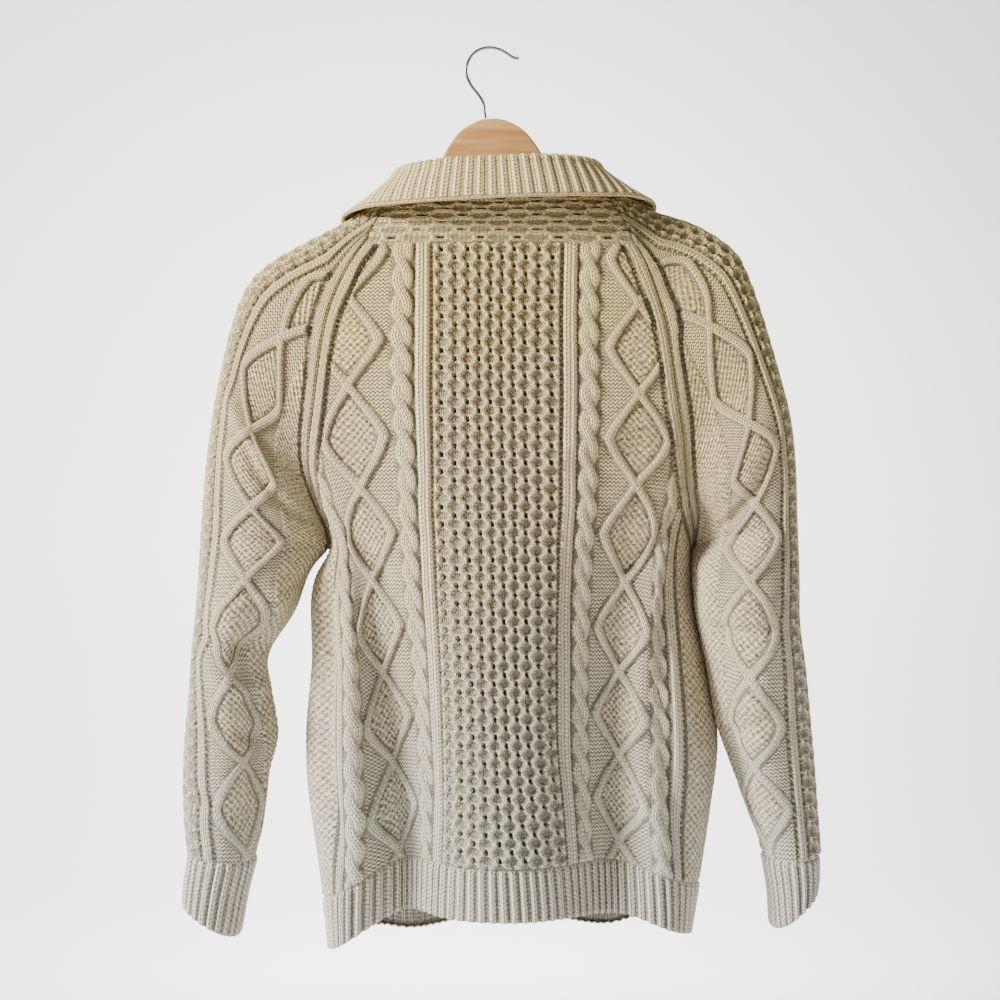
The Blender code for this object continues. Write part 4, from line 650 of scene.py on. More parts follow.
back_across = even(-PANEL_HALF, PANEL_HALF, COLUMN_STEP)
back_ring = ring_of(back_across)
back_top = rows_of(back_ring, np.where(back_across > 0, raglan_height(np.abs(back_ring), 1),
                                       raglan_height(np.abs(back_ring), -1)))
knit_piece("back", "wool_knit", back_across, stepped(0.0, PANEL_LENGTH, ROW_STEP), 0.0, back_top,
           on_body(ring_of), back_stitches, (2 * PANEL_HALF, PANEL_LENGTH), shaped=True,
           rests_on=["hanger_wood"])

# ------------------------------------------------------------------ fronts
# The two front panels, knitted like the back's halves from the button bands out, with the neck curved
# away at the top. They can't be seen in the photograph, so they repeat the back's columns.

BAND_HALF = 17.0
NECK_FRONT_Z = -213.0
FRONT_COLUMN_STEP = 2.2
FRONT_ROW_STEP = 2.6


def front_ring(side):
    """Ring coordinates of a front's chart, which counts from the middle of the front."""
    return lambda chart: side * (2 * PANEL_HALF - np.abs(ring_of(chart)))


def make_front(name, side):
    across = even(BAND_HALF, PANEL_HALF, FRONT_COLUMN_STEP)
    flat = np.abs(ring_of(across))
    # The neck's edge curves up from the band to the raglan seam.
    share = np.clip((flat - BAND_HALF) / (RAGLAN_FLAT[1][0] - BAND_HALF), 0, 1)
    neck = NECK_FRONT_Z + (YOKE_TOP - NECK_FRONT_Z) * share ** 1.6
    top = rows_of(front_ring(side)(across), np.minimum(raglan_height(flat, side), neck))
    knit_piece(name, "wool_knit", across, stepped(0.0, top.max(), FRONT_ROW_STEP), 0.0, top,
               on_body(front_ring(side)), lambda c, v: body_stitches(c, v, side, on_front=True),
               (PANEL_HALF - BAND_HALF, float(top.max())), shaped=True, rests_on=["hanger_wood"])


make_front("left_front", 1)
make_front("right_front", -1)

# ------------------------------------------------------------------- welts
# Ribbed welts, knitted first on finer needles: one knit and one purl stitch by turns, 8.7 mm a pair,
# with a cast-on edge that is as thick as the rib.

RIB_PITCH = 8.7
RIB_STEP = 1.3  # spacing of the mesh across the ribs
RIB_ROW_STEP = 1.7
RIB_HIGH = 2.3
EDGE_RADIUS = 1.9
EDGE_ROLL = (math.pi - 1) * EDGE_RADIUS


def turned_in(along, edge, sign=1):
    """Rolls the cloth beyond an open edge inward: the place along it and how far it sinks.

    The last of the cloth turns through half a circle, so that the edge looks as thick as it is.
    """
    past = np.clip((edge + sign * EDGE_RADIUS - along) * sign / EDGE_RADIUS, 0, math.pi)
    turned = edge + sign * EDGE_RADIUS * (1 - np.sin(past))
    return np.where(past > 0, turned, along), -EDGE_RADIUS * (1 - np.cos(past))


def rib_stitches(start, pitch, high=RIB_HIGH):
    """Knit columns that stand between sunken purl ones, over a whole piece."""
    def stitches(across, along):
        cloth = Stitches(across, along)
        ribs = (across - start) / pitch
        from_rib = (ribs - np.floor(ribs) - 0.5) * pitch
        half = pitch * 0.36
        rib = bump_of(from_rib, half) ** 0.6
        hollow = 0.5 + 0.5 * np.cos(2 * math.pi * along / ROW)
        # Painted shade in the sunken purl columns, deepest between rows.
        cloth.put(..., -0.6 + high * rib - 0.35 * hollow * (1 - rib), (from_rib / (2 * half) + 0.5) * WALE,
                  along, 0.0, np.clip((1 - rib) * (0.26 + 0.26 * hollow), 0, 1))
        return cloth
    return stitches


def whole_ribs(width, pitch=RIB_PITCH):
    """The pitch nearest the usual one that fills the width with whole ribs."""
    return width / round(width / pitch)


def make_welt(name, start, end, ring_at):
    def place(chart, along, out):
        ring = ring_at(chart)
        v, sink = turned_in(along, -HEM_RIB)
        return BODY.at(ring, foot_height(ring) + v, out + sink)
    foot = -HEM_RIB - EDGE_ROLL
    knit_piece(name, "wool_rib", even(start, end, RIB_STEP), stepped(foot, 0.0, RIB_ROW_STEP), foot, 0.0,
               place, rib_stitches(start, whole_ribs(end - start)), (end - start, HEM_RIB),
               sewn=("high", "first", "last"))


make_welt("back_hem_rib", -PANEL_HALF, PANEL_HALF, ring_of)
make_welt("left_front_hem_rib", BAND_HALF, PANEL_HALF, front_ring(1))
make_welt("right_front_hem_rib", BAND_HALF, PANEL_HALF, front_ring(-1))

# ----------------------------------------------------------------- sleeves
# Raglan sleeves, knitted up from the cuff: honeycomb along the top, a twisted column and diamonds on
# each side of it, moss stitch to the underarm seam. They hang from the shoulders, bent at the elbow.

SLEEVE_HONEYCOMB_HALF = 3.5 * HONEYCOMB_COLUMN
SLEEVE_TWIST = (38.0, 54.0, 46.5, 4.4)
SLEEVE_DIAMONDS = (52.0, 116.0, 85.0, 28.0)
SLEEVE_CROSSINGS = {1: (-20.0, 60.0, 142.0, 224.0, 306.0, 386.0, 474.0, 578.0, 690.0, 790.0),
                    -1: (-20.0, 58.0, 138.0, 218.0, 306.0, 396.0, 486.0, 590.0, 700.0, 790.0)}
SLEEVE_STEP = 1.6
# Sections above the underarm: x, y and z of the sleeve's top, height of its ends on the raglan seams,
# and how far it stands out from top to seam.
YOKES = {1: (
    (83, 0, -135, -187, 20), (136, 1, -167, -206, 27), (168, 2, -184, -233, 36), (199, 3, -202, -269, 45),
    (214, 3, -215, -296, 50), (226, 3, -236, -328, 54), (234, 4, -262, -357, 58), (242, 4, -296, -384, 61),
    (252, 4, -350, -421, 66), (258, 4, -400, -442, 70), (262, 4, -452, -459, 72),
), -1: (
    (-105, 0, -131, -187, 20), (-153, 1, -154, -206, 27), (-193, 2, -168, -228, 35),
    (-213, 3, -180, -245, 41), (-228, 4, -193, -277, 46), (-240, 5, -217, -306, 51),
    (-249, 6, -243, -340, 55), (-256, 8, -268, -370, 58), (-265, 11, -303, -401, 62),
    (-275, 13, -345, -425, 66), (-279, 15, -386, -442, 69), (-280, 17, -433, -459, 72),
)}
# Sections below it: x and z of the outer and of the inner side, y of the middle and half the depth.
ARMS = {1: (
    (264, -494, 166, -487, 5, 54), (266, -526, 179, -522, 7, 54), (269, -559, 203, -561, 8, 52),
    (271, -592, 203, -592, 8, 49), (275, -626, 197, -632, 7, 47), (278, -675, 203, -671, 6, 44),
    (277, -714, 209, -719, 6, 41), (275, -743, 214, -749, 7, 37), (278, -766, 221, -777, 8, 34),
    (280, -789, 229, -820, 8, 33),
), -1: (
    (-281, -489, -188, -488, 22, 54), (-280, -531, -191, -527, 30, 52), (-286, -571, -200, -565, 27, 48),
    (-292, -619, -210, -622, 21, 45), (-297, -661, -224, -661, 15, 42), (-301, -706, -240, -703, 11, 39),
    (-304, -744, -254, -746, 9, 36), (-304, -763, -259, -773, 9, 34), (-302, -777, -262, -812, 9, 33),
)}
UNDERARM = -459.0
TUCK_TOP = -330.0  # from here down the sleeve's ends turn in towards the underarm
CUFF_SECTIONS = 2             # the last of them are the cuff
WRIST_HALF = 106.0  # half the knitting's width there
YOKE_GROWTH = 0.02  # the yoke widens at least so much for each millimetre down
LEAST_LAST_STEP = 32.0  # from the last section but one to the cuff's edge

# Folds: across the elbow's inner side, below it, and slanting down from the armhole.
SLEEVE_CREASES = {1: (
    (82, 40, 86, 340, -6.5, 15), (118, 60, 124, 300, 4.0, 12), (-84, 60, -80, 330, -5.5, 15),
    (30, 262, 150, 250, -6.8, 9), (40, 286, 145, 290, 5.1, 9), (60, 222, 140, 208, 4.4, 9),
    (50, 190, 120, 168, -4.8, 9), (70, 470, 150, 380, -4.1, 10), (40, 500, 120, 440, 3.7, 11),
    (-40, 262, -150, 254, -6.1, 9), (-44, 288, -146, 292, 4.4, 9), (-60, 190, -120, 172, -4.4, 9),
    (20, 120, 96, 96, -3.7, 9), (-30, 430, -140, 372, -4.1, 10),
), -1: (
    (96, 90, 92, 380, -6.0, 15), (58, 60, 60, 300, 3.5, 12), (-90, 50, -84, 340, -5.5, 15),
    (40, 268, 150, 262, -5.8, 9), (46, 292, 140, 300, 4.4, 9), (60, 190, 120, 168, -4.4, 9),
    (50, 450, 140, 376, -4.1, 10), (-30, 270, -150, 262, -6.5, 9), (-40, 246, -146, 232, 4.8, 9),
    (-44, 212, -136, 196, -4.8, 9), (-60, 150, -110, 122, 4.1, 9), (-56, 480, -150, 396, -4.4, 10),
    (-40, 556, -110, 520, -4.1, 10), (-30, 110, -96, 84, -4.1, 9),
)}


def lengths_along(points, axis=0):
    """How far each point of a line lies from its start."""
    steps = np.linalg.norm(np.diff(points, axis=axis), axis=-1)
    return np.concatenate([np.zeros_like(steps.take([0], axis)), np.cumsum(steps, axis)], axis)


def cubic(a, b, c, d, t):
    return a * (1 - t) ** 3 + 3 * b * t * (1 - t) ** 2 + 3 * c * t * t * (1 - t) + d * t ** 3


def yoke_section(side, row):
    """Bezier corners of a section above the underarm: its ends lie on the raglan seams."""
    top = np.array(row[:3], float)
    seam_z, fall = float(row[3]), row[4]
    tuck = np.clip((TUCK_TOP - seam_z) / (TUCK_TOP - UNDERARM), 0, 1) ** 1.5
    halves = []
    for face in (1, -1):
        flat = side * np.interp([-seam_z], -RAGLAN_Z, RAGLAN_FLAT[side])
        if face < 0:
            flat = side * 2 * PANEL_HALF - flat
        end = BODY.at(flat, seam_z)[0]
        normal = BODY.normal(flat, np.array([seam_z]))[0]
        back = top - end
        lean = unit(back - normal * np.dot(back, normal))
        lean = unit(lean * (1 - tuck) + np.array([0.25 * side, face, 0.0]) * tuck)
        reach = np.linalg.norm(back) * (0.32 + 0.2 * tuck)
        halves.append([top, top + np.array([0, face * fall, 0]), end + lean * reach, end])
    return halves


def arm_section(row):
    """Bezier corners of a section below the underarm, a plain flattened ring."""
    top_x, top_z, inner_x, inner_z, middle_y, half = row
    top = np.array([top_x, middle_y, top_z], float)
    end = np.array([inner_x, middle_y, inner_z], float)
    bulge = np.array([0, half / 0.75, 0])
    return [[top, top + face * bulge, end + face * bulge, end] for face in (1, -1)]


class Sleeve:
    """A sleeve and its cuff as one sheet: along runs from the cuff's edge (0) up to the neck."""

    def __init__(self, side):
        yoke, arm = YOKES[side], ARMS[side]
        tops = np.array([row[:3] for row in yoke] + [(row[0], row[4], row[1]) for row in arm], float)
        places = lengths_along(tops)
        places[-1] = max(places[-1], places[-2] + LEAST_LAST_STEP)
        dense = np.linspace(0, places[len(yoke) - 1], 90)
        rows = smooth(places[:len(yoke)], np.array(yoke, float), dense)
        rows[:, 3] = np.minimum.accumulate(rows[:, 3])
        corners = np.array([yoke_section(side, row) for row in rows] + [arm_section(row) for row in arm])
        self.length = places[-1]
        self.underarm = self.length - places[len(yoke) - 1]
        stations = self.length - np.concatenate([dense, places[len(yoke):]])
        self.cuff_top = stations[-1 - CUFF_SECTIONS]
        self.along = along = np.linspace(0, self.length, 241)
        in_yoke = along > self.underarm
        # The yoke and the arm are read apart, because the sleeve's edges meet only from the underarm down.
        turn = len(dense)
        flat_corners = corners.reshape(len(corners), -1)
        arm_part = smooth(stations[turn - 1:], flat_corners[turn - 1:], along)
        yoke_part = smooth(stations[:turn], flat_corners[:turn], along)
        shape = np.where(in_yoke[:, None], yoke_part, arm_part).reshape(-1, 2, 4, 3)
        t = np.linspace(0, 1, 65)[None, :, None]
        halves = [cubic(*(shape[:, half, k][:, None] for k in range(4)), t) for half in (0, 1)]
        lengths = [lengths_along(half, 1) for half in halves]
        # Half the knitting's width: it grows down the yoke to the underarm, then tapers to the wrist.
        widths = (lengths[0][:, -1] + lengths[1][:, -1]) / 2
        grown = np.maximum.accumulate(widths[in_yoke][::-1])[::-1]
        grown += (self.length - along[in_yoke]) * YOKE_GROWTH
        self.widest = grown[0] + 0.01
        taper = (along - self.cuff_top) / (self.underarm - self.cuff_top)
        self.half_width = np.maximum(WRIST_HALF + (self.widest - WRIST_HALF) * taper, WRIST_HALF - 8.0)
        self.half_width[in_yoke] = grown
        across = np.linspace(-self.widest, self.widest, 121)
        points = np.zeros((len(along), len(across), 3))
        for row, width in enumerate(self.half_width):
            for half, face in ((0, 1), (1, -1)):
                line, run = halves[half][row], lengths[half][row]
                chosen = np.flatnonzero(across * face >= 0)
                flat = np.abs(across[chosen])
                for axis in range(3):
                    points[row, chosen, axis] = np.interp(flat, run / run[-1] * width, line[:, axis])
                # Beyond its edge the sheet runs straight on.
                over = flat > width
                ahead = unit(line[-1] - line[-3])
                points[row, chosen[over]] = line[-1] + (flat[over] - width)[:, None] * ahead
        middle = (shape[:, 0, 0] + shape[:, 0, 3] + shape[:, 1, 3]) / 3
        self.sheet = Sheet(across, along, points, points - middle[:, None])

    def width_at(self, along):
        return np.interp(along, self.along, self.half_width)

    def reach(self, across):
        """The lowest and highest place along the sleeve at each place across it."""
        flat = np.minimum(np.abs(across), self.widest)
        lower = self.along <= self.underarm
        low = np.interp(flat, self.half_width[lower], self.along[lower], left=self.cuff_top)
        high = np.interp(-flat, -self.half_width[~lower], self.along[~lower], right=self.length)
        return np.maximum(low, self.cuff_top), np.maximum(high, low)


SLEEVES = {1: Sleeve(1), -1: Sleeve(-1)}


def sleeve_stitches(across, along, side):
    sleeve = SLEEVES[side]
    cloth = Stitches(across, along)
    away = np.abs(across)
    knit_moss(cloth, away > 0, away, along)
    # The diamonds fade towards the cuff.
    knit_diamonds(cloth, SLEEVE_DIAMONDS, away, along, SLEEVE_CROSSINGS[side],
                  0.45 + 0.55 * np.clip((along - 200) / 160, 0, 1))
    knit_twist(cloth, SLEEVE_TWIST, away, along, side)
    knit_honeycomb(cloth, away < SLEEVE_HONEYCOMB_HALF, across + SLEEVE_HONEYCOMB_HALF, along)
    yoke = np.linspace(sleeve.underarm, sleeve.length, 40)
    for face in (1, -1):
        knit_seam_band(cloth, list(zip(face * sleeve.width_at(yoke), yoke)), across, along)
    add_creases(cloth, across, along, SLEEVE_CREASES[side])
    return cloth


def make_sleeve(name, side):
    sleeve = SLEEVES[side]
    across = even(-sleeve.widest, sleeve.widest, SLEEVE_STEP)
    rows = even(sleeve.cuff_top, sleeve.length, ROW_STEP)
    knit_piece(name, "wool_knit", across, rows, *sleeve.reach(across), sleeve.sheet.at,
               lambda c, v: sleeve_stitches(c, v, side),
               (2 * sleeve.widest, sleeve.length - sleeve.cuff_top), shaped=True, rests_on=["hanger_wood"])


make_sleeve("left_sleeve", 1)
make_sleeve("right_sleeve", -1)

# ------------------------------------------------------------------- cuffs
# The cuffs are ribbed like the welts and close round the wrist. They are knitted first, on the finer
# needles, and each sleeve is knitted on from its cuff.


def make_cuff(name, side):
    sleeve = SLEEVES[side]
    half = float(sleeve.width_at(sleeve.cuff_top))

    def place(chart, along, out):
        v, sink = turned_in(along, 0.0)
        return sleeve.sheet.at(chart / half * sleeve.width_at(v), v, out + sink)
    rows = stepped(-EDGE_ROLL, sleeve.cuff_top, RIB_ROW_STEP)
    knit_piece(name, "wool_rib", even(-half, half, RIB_STEP), rows, -EDGE_ROLL, sleeve.cuff_top, place,
               rib_stitches(-half, whole_ribs(2 * half)), (2 * half, sleeve.cuff_top),
               sewn=("high", "first", "last"))


make_cuff("left_cuff", 1)
make_cuff("right_cuff", -1)

# -------------------------------------------------------------- neck strip
# The strip of honeycomb that the sleeves' tops carry on, sideways, across the back of the neck. It is
# sewn to the top of the back, which lies over its lower edge.

NECK_BACK = (-1.5, 37.0, -141.0)  # its middle at the neck, x counted from the back's middle
STRIP_LENGTH = 212.0
STRIP_WIDTH = 54.0
STRIP_TOP_FLAT = 8.0
STRIP_COLUMN = 6.75
STRIP_ROW = 34.5
STRIP_TUCK = 2.0


def strip_sheet():
    """The strip between four edges: the back's top, the two sleeves' ends and the neck."""
    s, t = np.linspace(0, 1, 61), np.linspace(0, 1, 21)
    corner_left, corner_right = RAGLAN[0, 1:]
    foot = BODY.at(-corner_right + (corner_left + corner_right) * s, YOKE_TOP)
    ends = []
    for sleeve in (SLEEVES[-1], SLEEVES[1]):
        width = sleeve.width_at(sleeve.length)
        ends.append(sleeve.sheet.at(width - (width - STRIP_TOP_FLAT) * t, sleeve.length))
    middle = np.array(NECK_BACK) + (foot[len(s) // 2, 0], 0, 0)
    quarters = [end[-1] * 0.45 + middle * 0.55 + (0, 8.0, -0.5) for end in ends]
    head = np.array([ends[0][-1], quarters[0], middle, quarters[1], ends[1][-1]])
    run = lengths_along(head)
    head = smooth(run / run[-1], head, s)
    first, last = ends
    s3, t3 = s[None, :, None], t[:, None, None]
    corners = (foot[0] * (1 - s3) * (1 - t3) + foot[-1] * s3 * (1 - t3)
               + first[-1] * (1 - s3) * t3 + last[-1] * s3 * t3)
    net = foot[None] * (1 - t3) + head[None] * t3 + first[:, None] * (1 - s3) + last[:, None] * s3 - corners
    return Sheet((s - 0.5) * STRIP_LENGTH, t * STRIP_WIDTH, net, np.array([0.0, 1.0, 0.3]))


def strip_stitches(across, along):
    cloth = Stitches(across, along)
    knit_honeycomb(cloth, ..., along, across + STRIP_ROW * 8, STRIP_COLUMN, STRIP_ROW, swing=1.8, high=1.3)
    return cloth


knit_piece("back_neck_strip", "wool_knit", np.linspace(-STRIP_LENGTH / 2, STRIP_LENGTH / 2, 178),
           np.linspace(-STRIP_TUCK, STRIP_WIDTH, 48), -STRIP_TUCK, STRIP_WIDTH, strip_sheet().at,
           strip_stitches, (STRIP_LENGTH, STRIP_WIDTH))

# ------------------------------------------------------------------ collar
# The ribbed collar stands up from the neck seam, folds over and falls to the shoulders. Its cast-off
# edge is a row of chain stitches.

HANGER_TILT = math.radians(2.4)
COLLAR_SHIFT = -4.0  # the garment sits a little off the hanger's middle
COLLAR_RIB_PITCH = 10.9
# Share of half the collar, then x, y and z of its neck seam, of its fold and of its edge.
COLLAR = np.array((
    (0.00, 0, 38, -139, 0, 49, -115, 0, 72, -154), (0.16, 40, 35, -138, 44, 45, -114, 52, 69, -154),
    (0.30, 68, 23, -134, 74, 30, -114, 92, 59, -153), (0.42, 84, 5, -131, 87, 8, -114, 124, 40, -151),
    (0.54, 84, -16, -136, 87, -18, -119, 146, 8, -153),
    (0.66, 72, -36, -150, 78, -44, -134, 142, -34, -165),
    (0.80, 50, -52, -172, 55, -64, -155, 110, -72, -205),
    (0.92, 24, -61, -189, 28, -76, -172, 78, -94, -232), (1.00, 6, -64, -197, 9, -81, -181, 54, -104, -244),
))
FOLD_HALF = 6.5
CHAIN_WIDTH = 3.4
CHAIN_LINK = 5.4


def tilt(points):
    """Turns points about the hook's crown by the hanger's tilt, the wearer's left side down."""
    turned = np.array(points, float)
    x, z = turned[..., 0].copy(), turned[..., 2].copy()
    turned[..., 0] = x * math.cos(HANGER_TILT) + z * math.sin(HANGER_TILT)
    turned[..., 2] = z * math.cos(HANGER_TILT) - x * math.sin(HANGER_TILT)
    return turned


def collar_sheet():
    """The collar's section at places along it: outer edge, over the fold, down inside to the neck seam."""
    s = np.linspace(-1, 1, 181)
    half = COLLAR[:0:-1] * (-1, -1, 1, 1, -1, 1, 1, -1, 1, 1)
    whole = np.concatenate([half, COLLAR])
    guides = smooth(whole[:, 0], whole[:, 1:], s).reshape(-1, 3, 3)
    seam, fold, edge = tilt(guides + (COLLAR_SHIFT, 0, 0)).transpose(1, 0, 2)
    outward = unit((edge - seam) * (1, 1, 0.25))
    run = unit(np.gradient(fold, axis=0))
    outward = unit(outward - run * np.sum(outward * run, axis=1, keepdims=True))
    fall_top = fold + outward * FOLD_HALF + (edge - fold) * 0.10
    stand_top = fold - outward * FOLD_HALF + (seam - fold) * 0.12
    t = np.linspace(0, 1, 17)[:, None, None]
    # The fall, bellied out a little, then round the fold, then the stand.
    belly = edge * 0.5 + fall_top * 0.5 + outward * 3.0
    rise = unit(np.cross(run, outward))
    lift = rise * np.sign(rise[:, 2:]) * FOLD_HALF * 1.25
    # The seam allowance turns in behind the neck's edge.
    allowance = seam + (seam - stand_top) * 0.3 - outward * 3.0
    net = np.concatenate([(edge * (1 - t) ** 2 + 2 * belly * t * (1 - t) + fall_top * t * t)[:-1],
                          cubic(fall_top, fall_top + lift, stand_top + lift, stand_top, t)[:-1],
                          (stand_top * (1 - t) + seam * t)[:-1], seam * (1 - t) + allowance * t])
    # Measured along it just inside its edge, and down its middle.
    length = lengths_along(net[4])
    width = lengths_along(net[:, len(s) // 2])
    return Sheet(length - length[-1] / 2, width, net, net - ((fold + seam + edge) / 3)[None])


collar = collar_sheet()
collar_half, collar_top = collar.across[-1], collar.along[-1]


def collar_stitches(across, along):
    cloth = rib_stitches(-collar_half, whole_ribs(2 * collar_half, COLLAR_RIB_PITCH), 3.0)(across, along)
    # The ribs lie flatter round the fold and on the stand.
    cloth.height *= np.interp(along, (0, 40, 60, 110), (0.5, 0.5, 0.45, 0.36))
    # Less painted shade on the collar's ribs, and a little between the chain's links.
    cloth.painted_shade *= 0.3
    links = 0.5 + 0.5 * np.cos(2 * math.pi * across / CHAIN_LINK)
    cloth.put(along < CHAIN_WIDTH, 0.8 + 0.5 * links, along * 1.1, across, 0.0, 0.15 * (1 - links))
    return cloth


def collar_place(across, along, out):
    v, sink = turned_in(along, 0.0)
    c, sink_first = turned_in(across, -collar_half)
    c, sink_last = turned_in(c, collar_half, -1)
    return collar.at(c, v, out + sink + sink_first + sink_last)


collar_end = collar_half + EDGE_ROLL
knit_piece("collar", "wool_rib", np.linspace(-collar_end, collar_end, 470),
           stepped(-EDGE_ROLL, collar_top, 1.5), -EDGE_ROLL, collar_top, collar_place, collar_stitches,
           (2 * collar_half, collar_top), held="folded", rests_on=["hanger_wood"], sewn=("high",))

# ------------------------------------------------------------------- bands
# Ribbed button bands, picked up along the fronts' edges. The left one laps over the right one, and the
# buttons are sewn to the outside of it.

BAND_LIFT = 4.7
BAND_TURN = (1.2, 4.2)  # it steps up from the front over this distance from its seam
BAND_RIB_PITCH = 8.5
BAND_RIB_HIGH = 2.6
BAND_RELIEF = 0.6  # the bands are pressed flatter than the welts
BAND_STEPS = (1.4, 2.2)  # spacing of the mesh across and along


def front_top(side):
    return float(rows_of(front_ring(side)(np.array([BAND_HALF])), np.array([NECK_FRONT_Z]))[0])


def make_band(name, side, lift, start):
    ring = front_ring(side)(np.array([BAND_HALF]))
    foot = float(rows_of(ring, foot_height(ring) - HEM_RIB)[0])
    top = front_top(side)

    def place(chart, along, out):
        v, sink = turned_in(along, foot)
        c, sink_side = turned_in(chart, start)
        at = side * (2 * PANEL_HALF - c)
        step = np.clip((BAND_HALF - BAND_TURN[0] - c) / BAND_TURN[1], 0, 1) * lift
        return BODY.at(at, height_of(at, v), out * BAND_RELIEF + step + sink + sink_side)
    knit_piece(name, "wool_rib", stepped(start - EDGE_ROLL, BAND_HALF, BAND_STEPS[0]),
               stepped(foot - EDGE_ROLL, top, BAND_STEPS[1]), foot - EDGE_ROLL, top, place,
               rib_stitches(start, BAND_RIB_PITCH, BAND_RIB_HIGH), (BAND_HALF - start, top - foot),
               sewn=("high", "last"))


make_band("left_front_band", 1, BAND_LIFT, -BAND_HALF)
make_band("right_front_band", -1, 0.0, -BAND_HALF + 8.0)

# ----------------------------------------------------------------- buttons
# Five brown moulded buttons, 22 mm across, dished inside a raised rim, each sewn on through four holes.

BUTTONS = 5
BUTTON_RADIUS = 11.0
BUTTON_THICKNESS = 3.6
FIRST_BUTTON = 14.0  # from the top of the band
LAST_BUTTON = 16.0  # from its foot
BUTTON_GAP = 1.65  # its back stands off the band's wall, on the ribs
HOLE_PLACES = ((2, 2), (2, -2), (-2, 2), (-2, -2))
HOLE_RADIUS = 1.25
HOLE_FLOOR = 1.1

# Brown plastic moulded to look like horn, cloudy and polished.
horn, horn_tree, horn_shader = new_material("brown_horn_button")
horn_place = add_node(horn_tree, "ShaderNodeTexCoord").outputs["Object"]
set_inputs(horn_tree, horn_shader, Roughness=0.32,
           Base_Color=ramp(horn_tree, noise(horn_tree, horn_place, 260.0, 3.0), "#2E1B10", "#5B3B22"))


def make_button(k):
    top = front_top(1)
    ring = np.array([2 * PANEL_HALF])
    row = top - FIRST_BUTTON - k * (top - FIRST_BUTTON - LAST_BUTTON) / (BUTTONS - 1)
    spot = BODY.at(ring, height_of(ring, row))[0]
    normal = BODY.normal(ring, spot[2:])[0]
    base = spot + normal * (BAND_LIFT + BUTTON_GAP)
    side = unit(np.cross((0.0, 0.0, 1.0), normal))
    up = np.cross(normal, side)
    # Half of the section from the middle of the face, over the rim and under to the middle of the back.
    face = [(r, BUTTON_THICKNESS - 1.0) for r in np.linspace(0, BUTTON_RADIUS - 3.0, 26)]
    rim = [(BUTTON_RADIUS - 2.4, BUTTON_THICKNESS - 0.6), (BUTTON_RADIUS - 1.6, BUTTON_THICKNESS),
           (BUTTON_RADIUS - 0.7, BUTTON_THICKNESS - 0.15), (BUTTON_RADIUS - 0.1, BUTTON_THICKNESS - 1.0),
           (BUTTON_RADIUS, 1.4), (BUTTON_RADIUS - 0.5, 0.4), (BUTTON_RADIUS - 1.5, 0.0), (0.0, 0.0)]
    turns = np.linspace(0, 2 * math.pi, 97)
    radius, height = (np.array(values)[:, None] for values in zip(*(face + rim)))
    x, y = radius * np.cos(turns), radius * np.sin(turns)
    on_face = (np.arange(len(radius)) < len(face))[:, None]
    for hole_x, hole_y in HOLE_PLACES:
        height = np.where(on_face & (np.hypot(x - hole_x, y - hole_y) < HOLE_RADIUS), HOLE_FLOOR, height)
    points = base + x[..., None] * side + y[..., None] * up + height[..., None] * normal
    index = np.arange(x.size).reshape(x.shape)
    quads = np.stack([index[:-1, :-1], index[1:, :-1], index[1:, 1:], index[:-1, 1:]], axis=-1).reshape(-1, 4)
    add_piece(f"button_{k + 1}", "moulded", horn, points.reshape(-1, 3), quads.tolist())


for number in range(BUTTONS):
    make_button(number)

# ------------------------------------------------------------------ hanger
# The hanger: one piece of beech with rounded edges, lacquered, and a bent steel wire hook screwed into
# its middle.

WOOD_THICKNESS = 13.0
WOOD_ROUNDING = 2.4
WIRE = 2.8
# Half the wood's outline, from the middle of its top round the arm's end to the middle of its underside.
WOOD_OUTLINE = (
    (0, -66), (6, -66), (16, -69), (28, -76), (38, -87), (46, -100), (57, -116), (72, -129),
    (90, -139), (112, -150), (145, -170), (181, -189), (203, -203), (210, -210), (211, -217), (204, -222),
    (181, -213), (145, -196), (110, -178), (70, -158), (35, -143), (0, -137),
)
HOOK_LINE = (
    (2.0, -64.2), (2.9, -57.1), (3.9, -50.3), (7.6, -43.7), (14.1, -35.4), (19.0, -25.5), (20.0, -19.0),
    (17.4, -10.2), (10.2, -1.9), (0.0, 1.4), (-8.0, 0.6), (-14.1, -1.7), (-18.5, -4.4), (-23.0, -7.4),
    (-29.1, -9.0),
)

# Lacquered beech, its grain along the arms.
beech, beech_tree, beech_shader = new_material("lacquered_beech")
beech_place = add_node(beech_tree, "ShaderNodeTexCoord").outputs["Object"]
beech_place = add_node(beech_tree, "ShaderNodeMapping", Vector=beech_place,
                       Rotation=(0, math.radians(30), 0), Scale=(9.0, 60.0, 130.0)).outputs[0]
beech_grain = noise(beech_tree, beech_place, 1.0, 4.0)
set_inputs(beech_tree, beech_shader, Roughness=0.38,
           Base_Color=ramp(beech_tree, beech_grain, "#A9773F", "#D9AE75", 0.3, 0.7))

# Plated steel wire.
steel, steel_tree, steel_shader = new_material("plated_steel_wire")
set_inputs(steel_tree, steel_shader, Base_Color=linear("#8E9091"), Metallic=1.0, Roughness=0.24)


def add_rod(node, made, material, rings):
    """A piece through closed rings of points, with a flat face at each end."""
    index = np.arange(rings.size // 3).reshape(rings.shape[:2])
    ahead = np.roll(index, -1, axis=1)
    sides = np.stack([index[:-1], ahead[:-1], ahead[1:], index[1:]], axis=-1).reshape(-1, 4)
    faces = sides.tolist() + [index[0, ::-1].tolist(), index[-1].tolist()]
    add_piece(node, made, material, rings.reshape(-1, 3), faces)


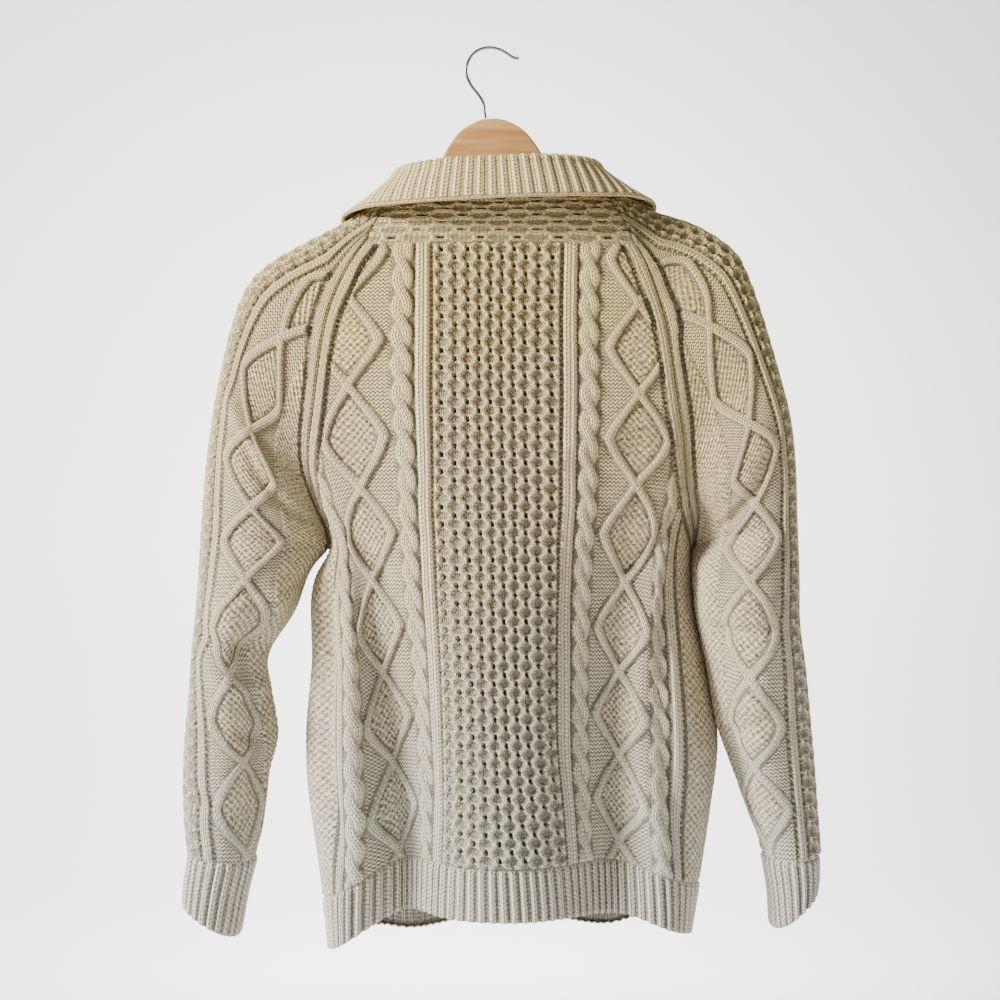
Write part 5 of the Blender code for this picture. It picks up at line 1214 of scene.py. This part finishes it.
half_wood = np.array(WOOD_OUTLINE, float)
wood_line = np.concatenate([half_wood, half_wood[-2:0:-1] * (-1, 1)])
wood_length = lengths_along(wood_line)[-1] + np.linalg.norm(wood_line[0] - wood_line[-1])
wood_line = closed_spline(lengths_along(wood_line), wood_line, wood_length,
                          np.linspace(0, wood_length, 260, endpoint=False))
wood_sides = unit(np.roll(wood_line, -1, axis=0) - np.roll(wood_line, 1, axis=0))
wood_inward = np.stack([wood_sides[:, 1], -wood_sides[:, 0]], axis=-1)
wood_rings = []
for turn in np.linspace(0, math.pi, 13):
    depth = math.copysign(WOOD_THICKNESS / 2 - WOOD_ROUNDING * (1 - abs(math.cos(turn))), math.cos(turn))
    x, z = (wood_line + wood_inward * WOOD_ROUNDING * (1 - math.sin(turn))).T
    wood_rings.append(tilt(np.stack([x, np.full(len(x), depth), z], axis=-1)))
add_rod("hanger_wood", "turned", beech, np.array(wood_rings))

hook_path = np.array(HOOK_LINE, float)
hook_keys = lengths_along(hook_path)
hook_x, hook_z = smooth(hook_keys, hook_path, np.linspace(0, hook_keys[-1], 140)).T[..., None]
run_x, run_z = unit(np.gradient(np.concatenate([hook_x, hook_z], axis=1), axis=0)).T[..., None]
hook_turns = np.linspace(0, 2 * math.pi, 20, endpoint=False)
swing = np.cos(hook_turns) * WIRE / 2
hook_y = np.sin(hook_turns) * WIRE / 2 + 0 * hook_x
hook_rings = np.stack([hook_x - run_z * swing, hook_y, hook_z + run_x * swing], axis=-1)
add_rod("hanger_hook", "wire", steel, hook_rings)

# ------------------------------------------------------------------- stage
# A plain pale paper floor that sweeps up behind the cardigan, and soft light: a broad lamp from above
# on the cardigan's left, a weaker one on its right, one on the front, one on the paper and a pale sky.

FLOOR_Z = -1.25
FLOOR_BEND = -1.6  # y where the floor starts to sweep up
SWEEP = 0.7

paper, paper_tree, paper_shader = new_material("pale_paper")
set_inputs(paper_tree, paper_shader, Base_Color=linear("#FCFBFA"), Roughness=0.9)
profile = [(6.0, FLOOR_Z)]
for angle in np.linspace(0, math.pi / 2, 24):
    profile.append((FLOOR_BEND - SWEEP * math.sin(angle), FLOOR_Z + SWEEP * (1 - math.cos(angle))))
profile.append((FLOOR_BEND - SWEEP, 4.0))
floor_mesh = bpy.data.meshes.new("floor_sweep")
floor_mesh.from_pydata([(x, y, z) for y, z in profile for x in (-5.0, 5.0)], [],
                       [(2 * k, 2 * k + 1, 2 * k + 3, 2 * k + 2) for k in range(len(profile) - 1)])
floor_mesh.shade_smooth()
floor_mesh.materials.append(paper)
floor = bpy.data.objects.new("floor_sweep", floor_mesh)
bpy.context.scene.collection.objects.link(floor)


def soft_lamp(name, place, target, size, watts):
    lamp = bpy.data.lights.new(name, "AREA")
    lamp.shape = "SQUARE"
    lamp.size = size
    lamp.energy = watts
    item = bpy.data.objects.new(name, lamp)
    item.location = place
    item.rotation_euler = (Vector(target) - Vector(place)).to_track_quat("-Z", "Y").to_euler()
    item.visible_camera = False
    bpy.context.scene.collection.objects.link(item)


soft_lamp("key_lamp", (2.3, 1.0, 0.85), (0, 0, -0.42), 0.6, 255)
soft_lamp("side_lamp", (-2.2, 0.7, -1.0), (-0.3, 0, -0.65), 0.6, 12)
soft_lamp("front_lamp", (0.4, -1.4, 0.9), (0, 0, -0.42), 1.2, 34)
soft_lamp("backdrop_lamp", (0, -0.9, -0.3), (0, -2.3, -0.4), 1.4, 60)
sky = bpy.data.worlds.new("pale_sky")
sky.use_nodes = True
set_inputs(sky.node_tree, sky.node_tree.nodes["Background"], Color=linear("#F4F6F8"), Strength=0.38)
bpy.context.scene.world = sky
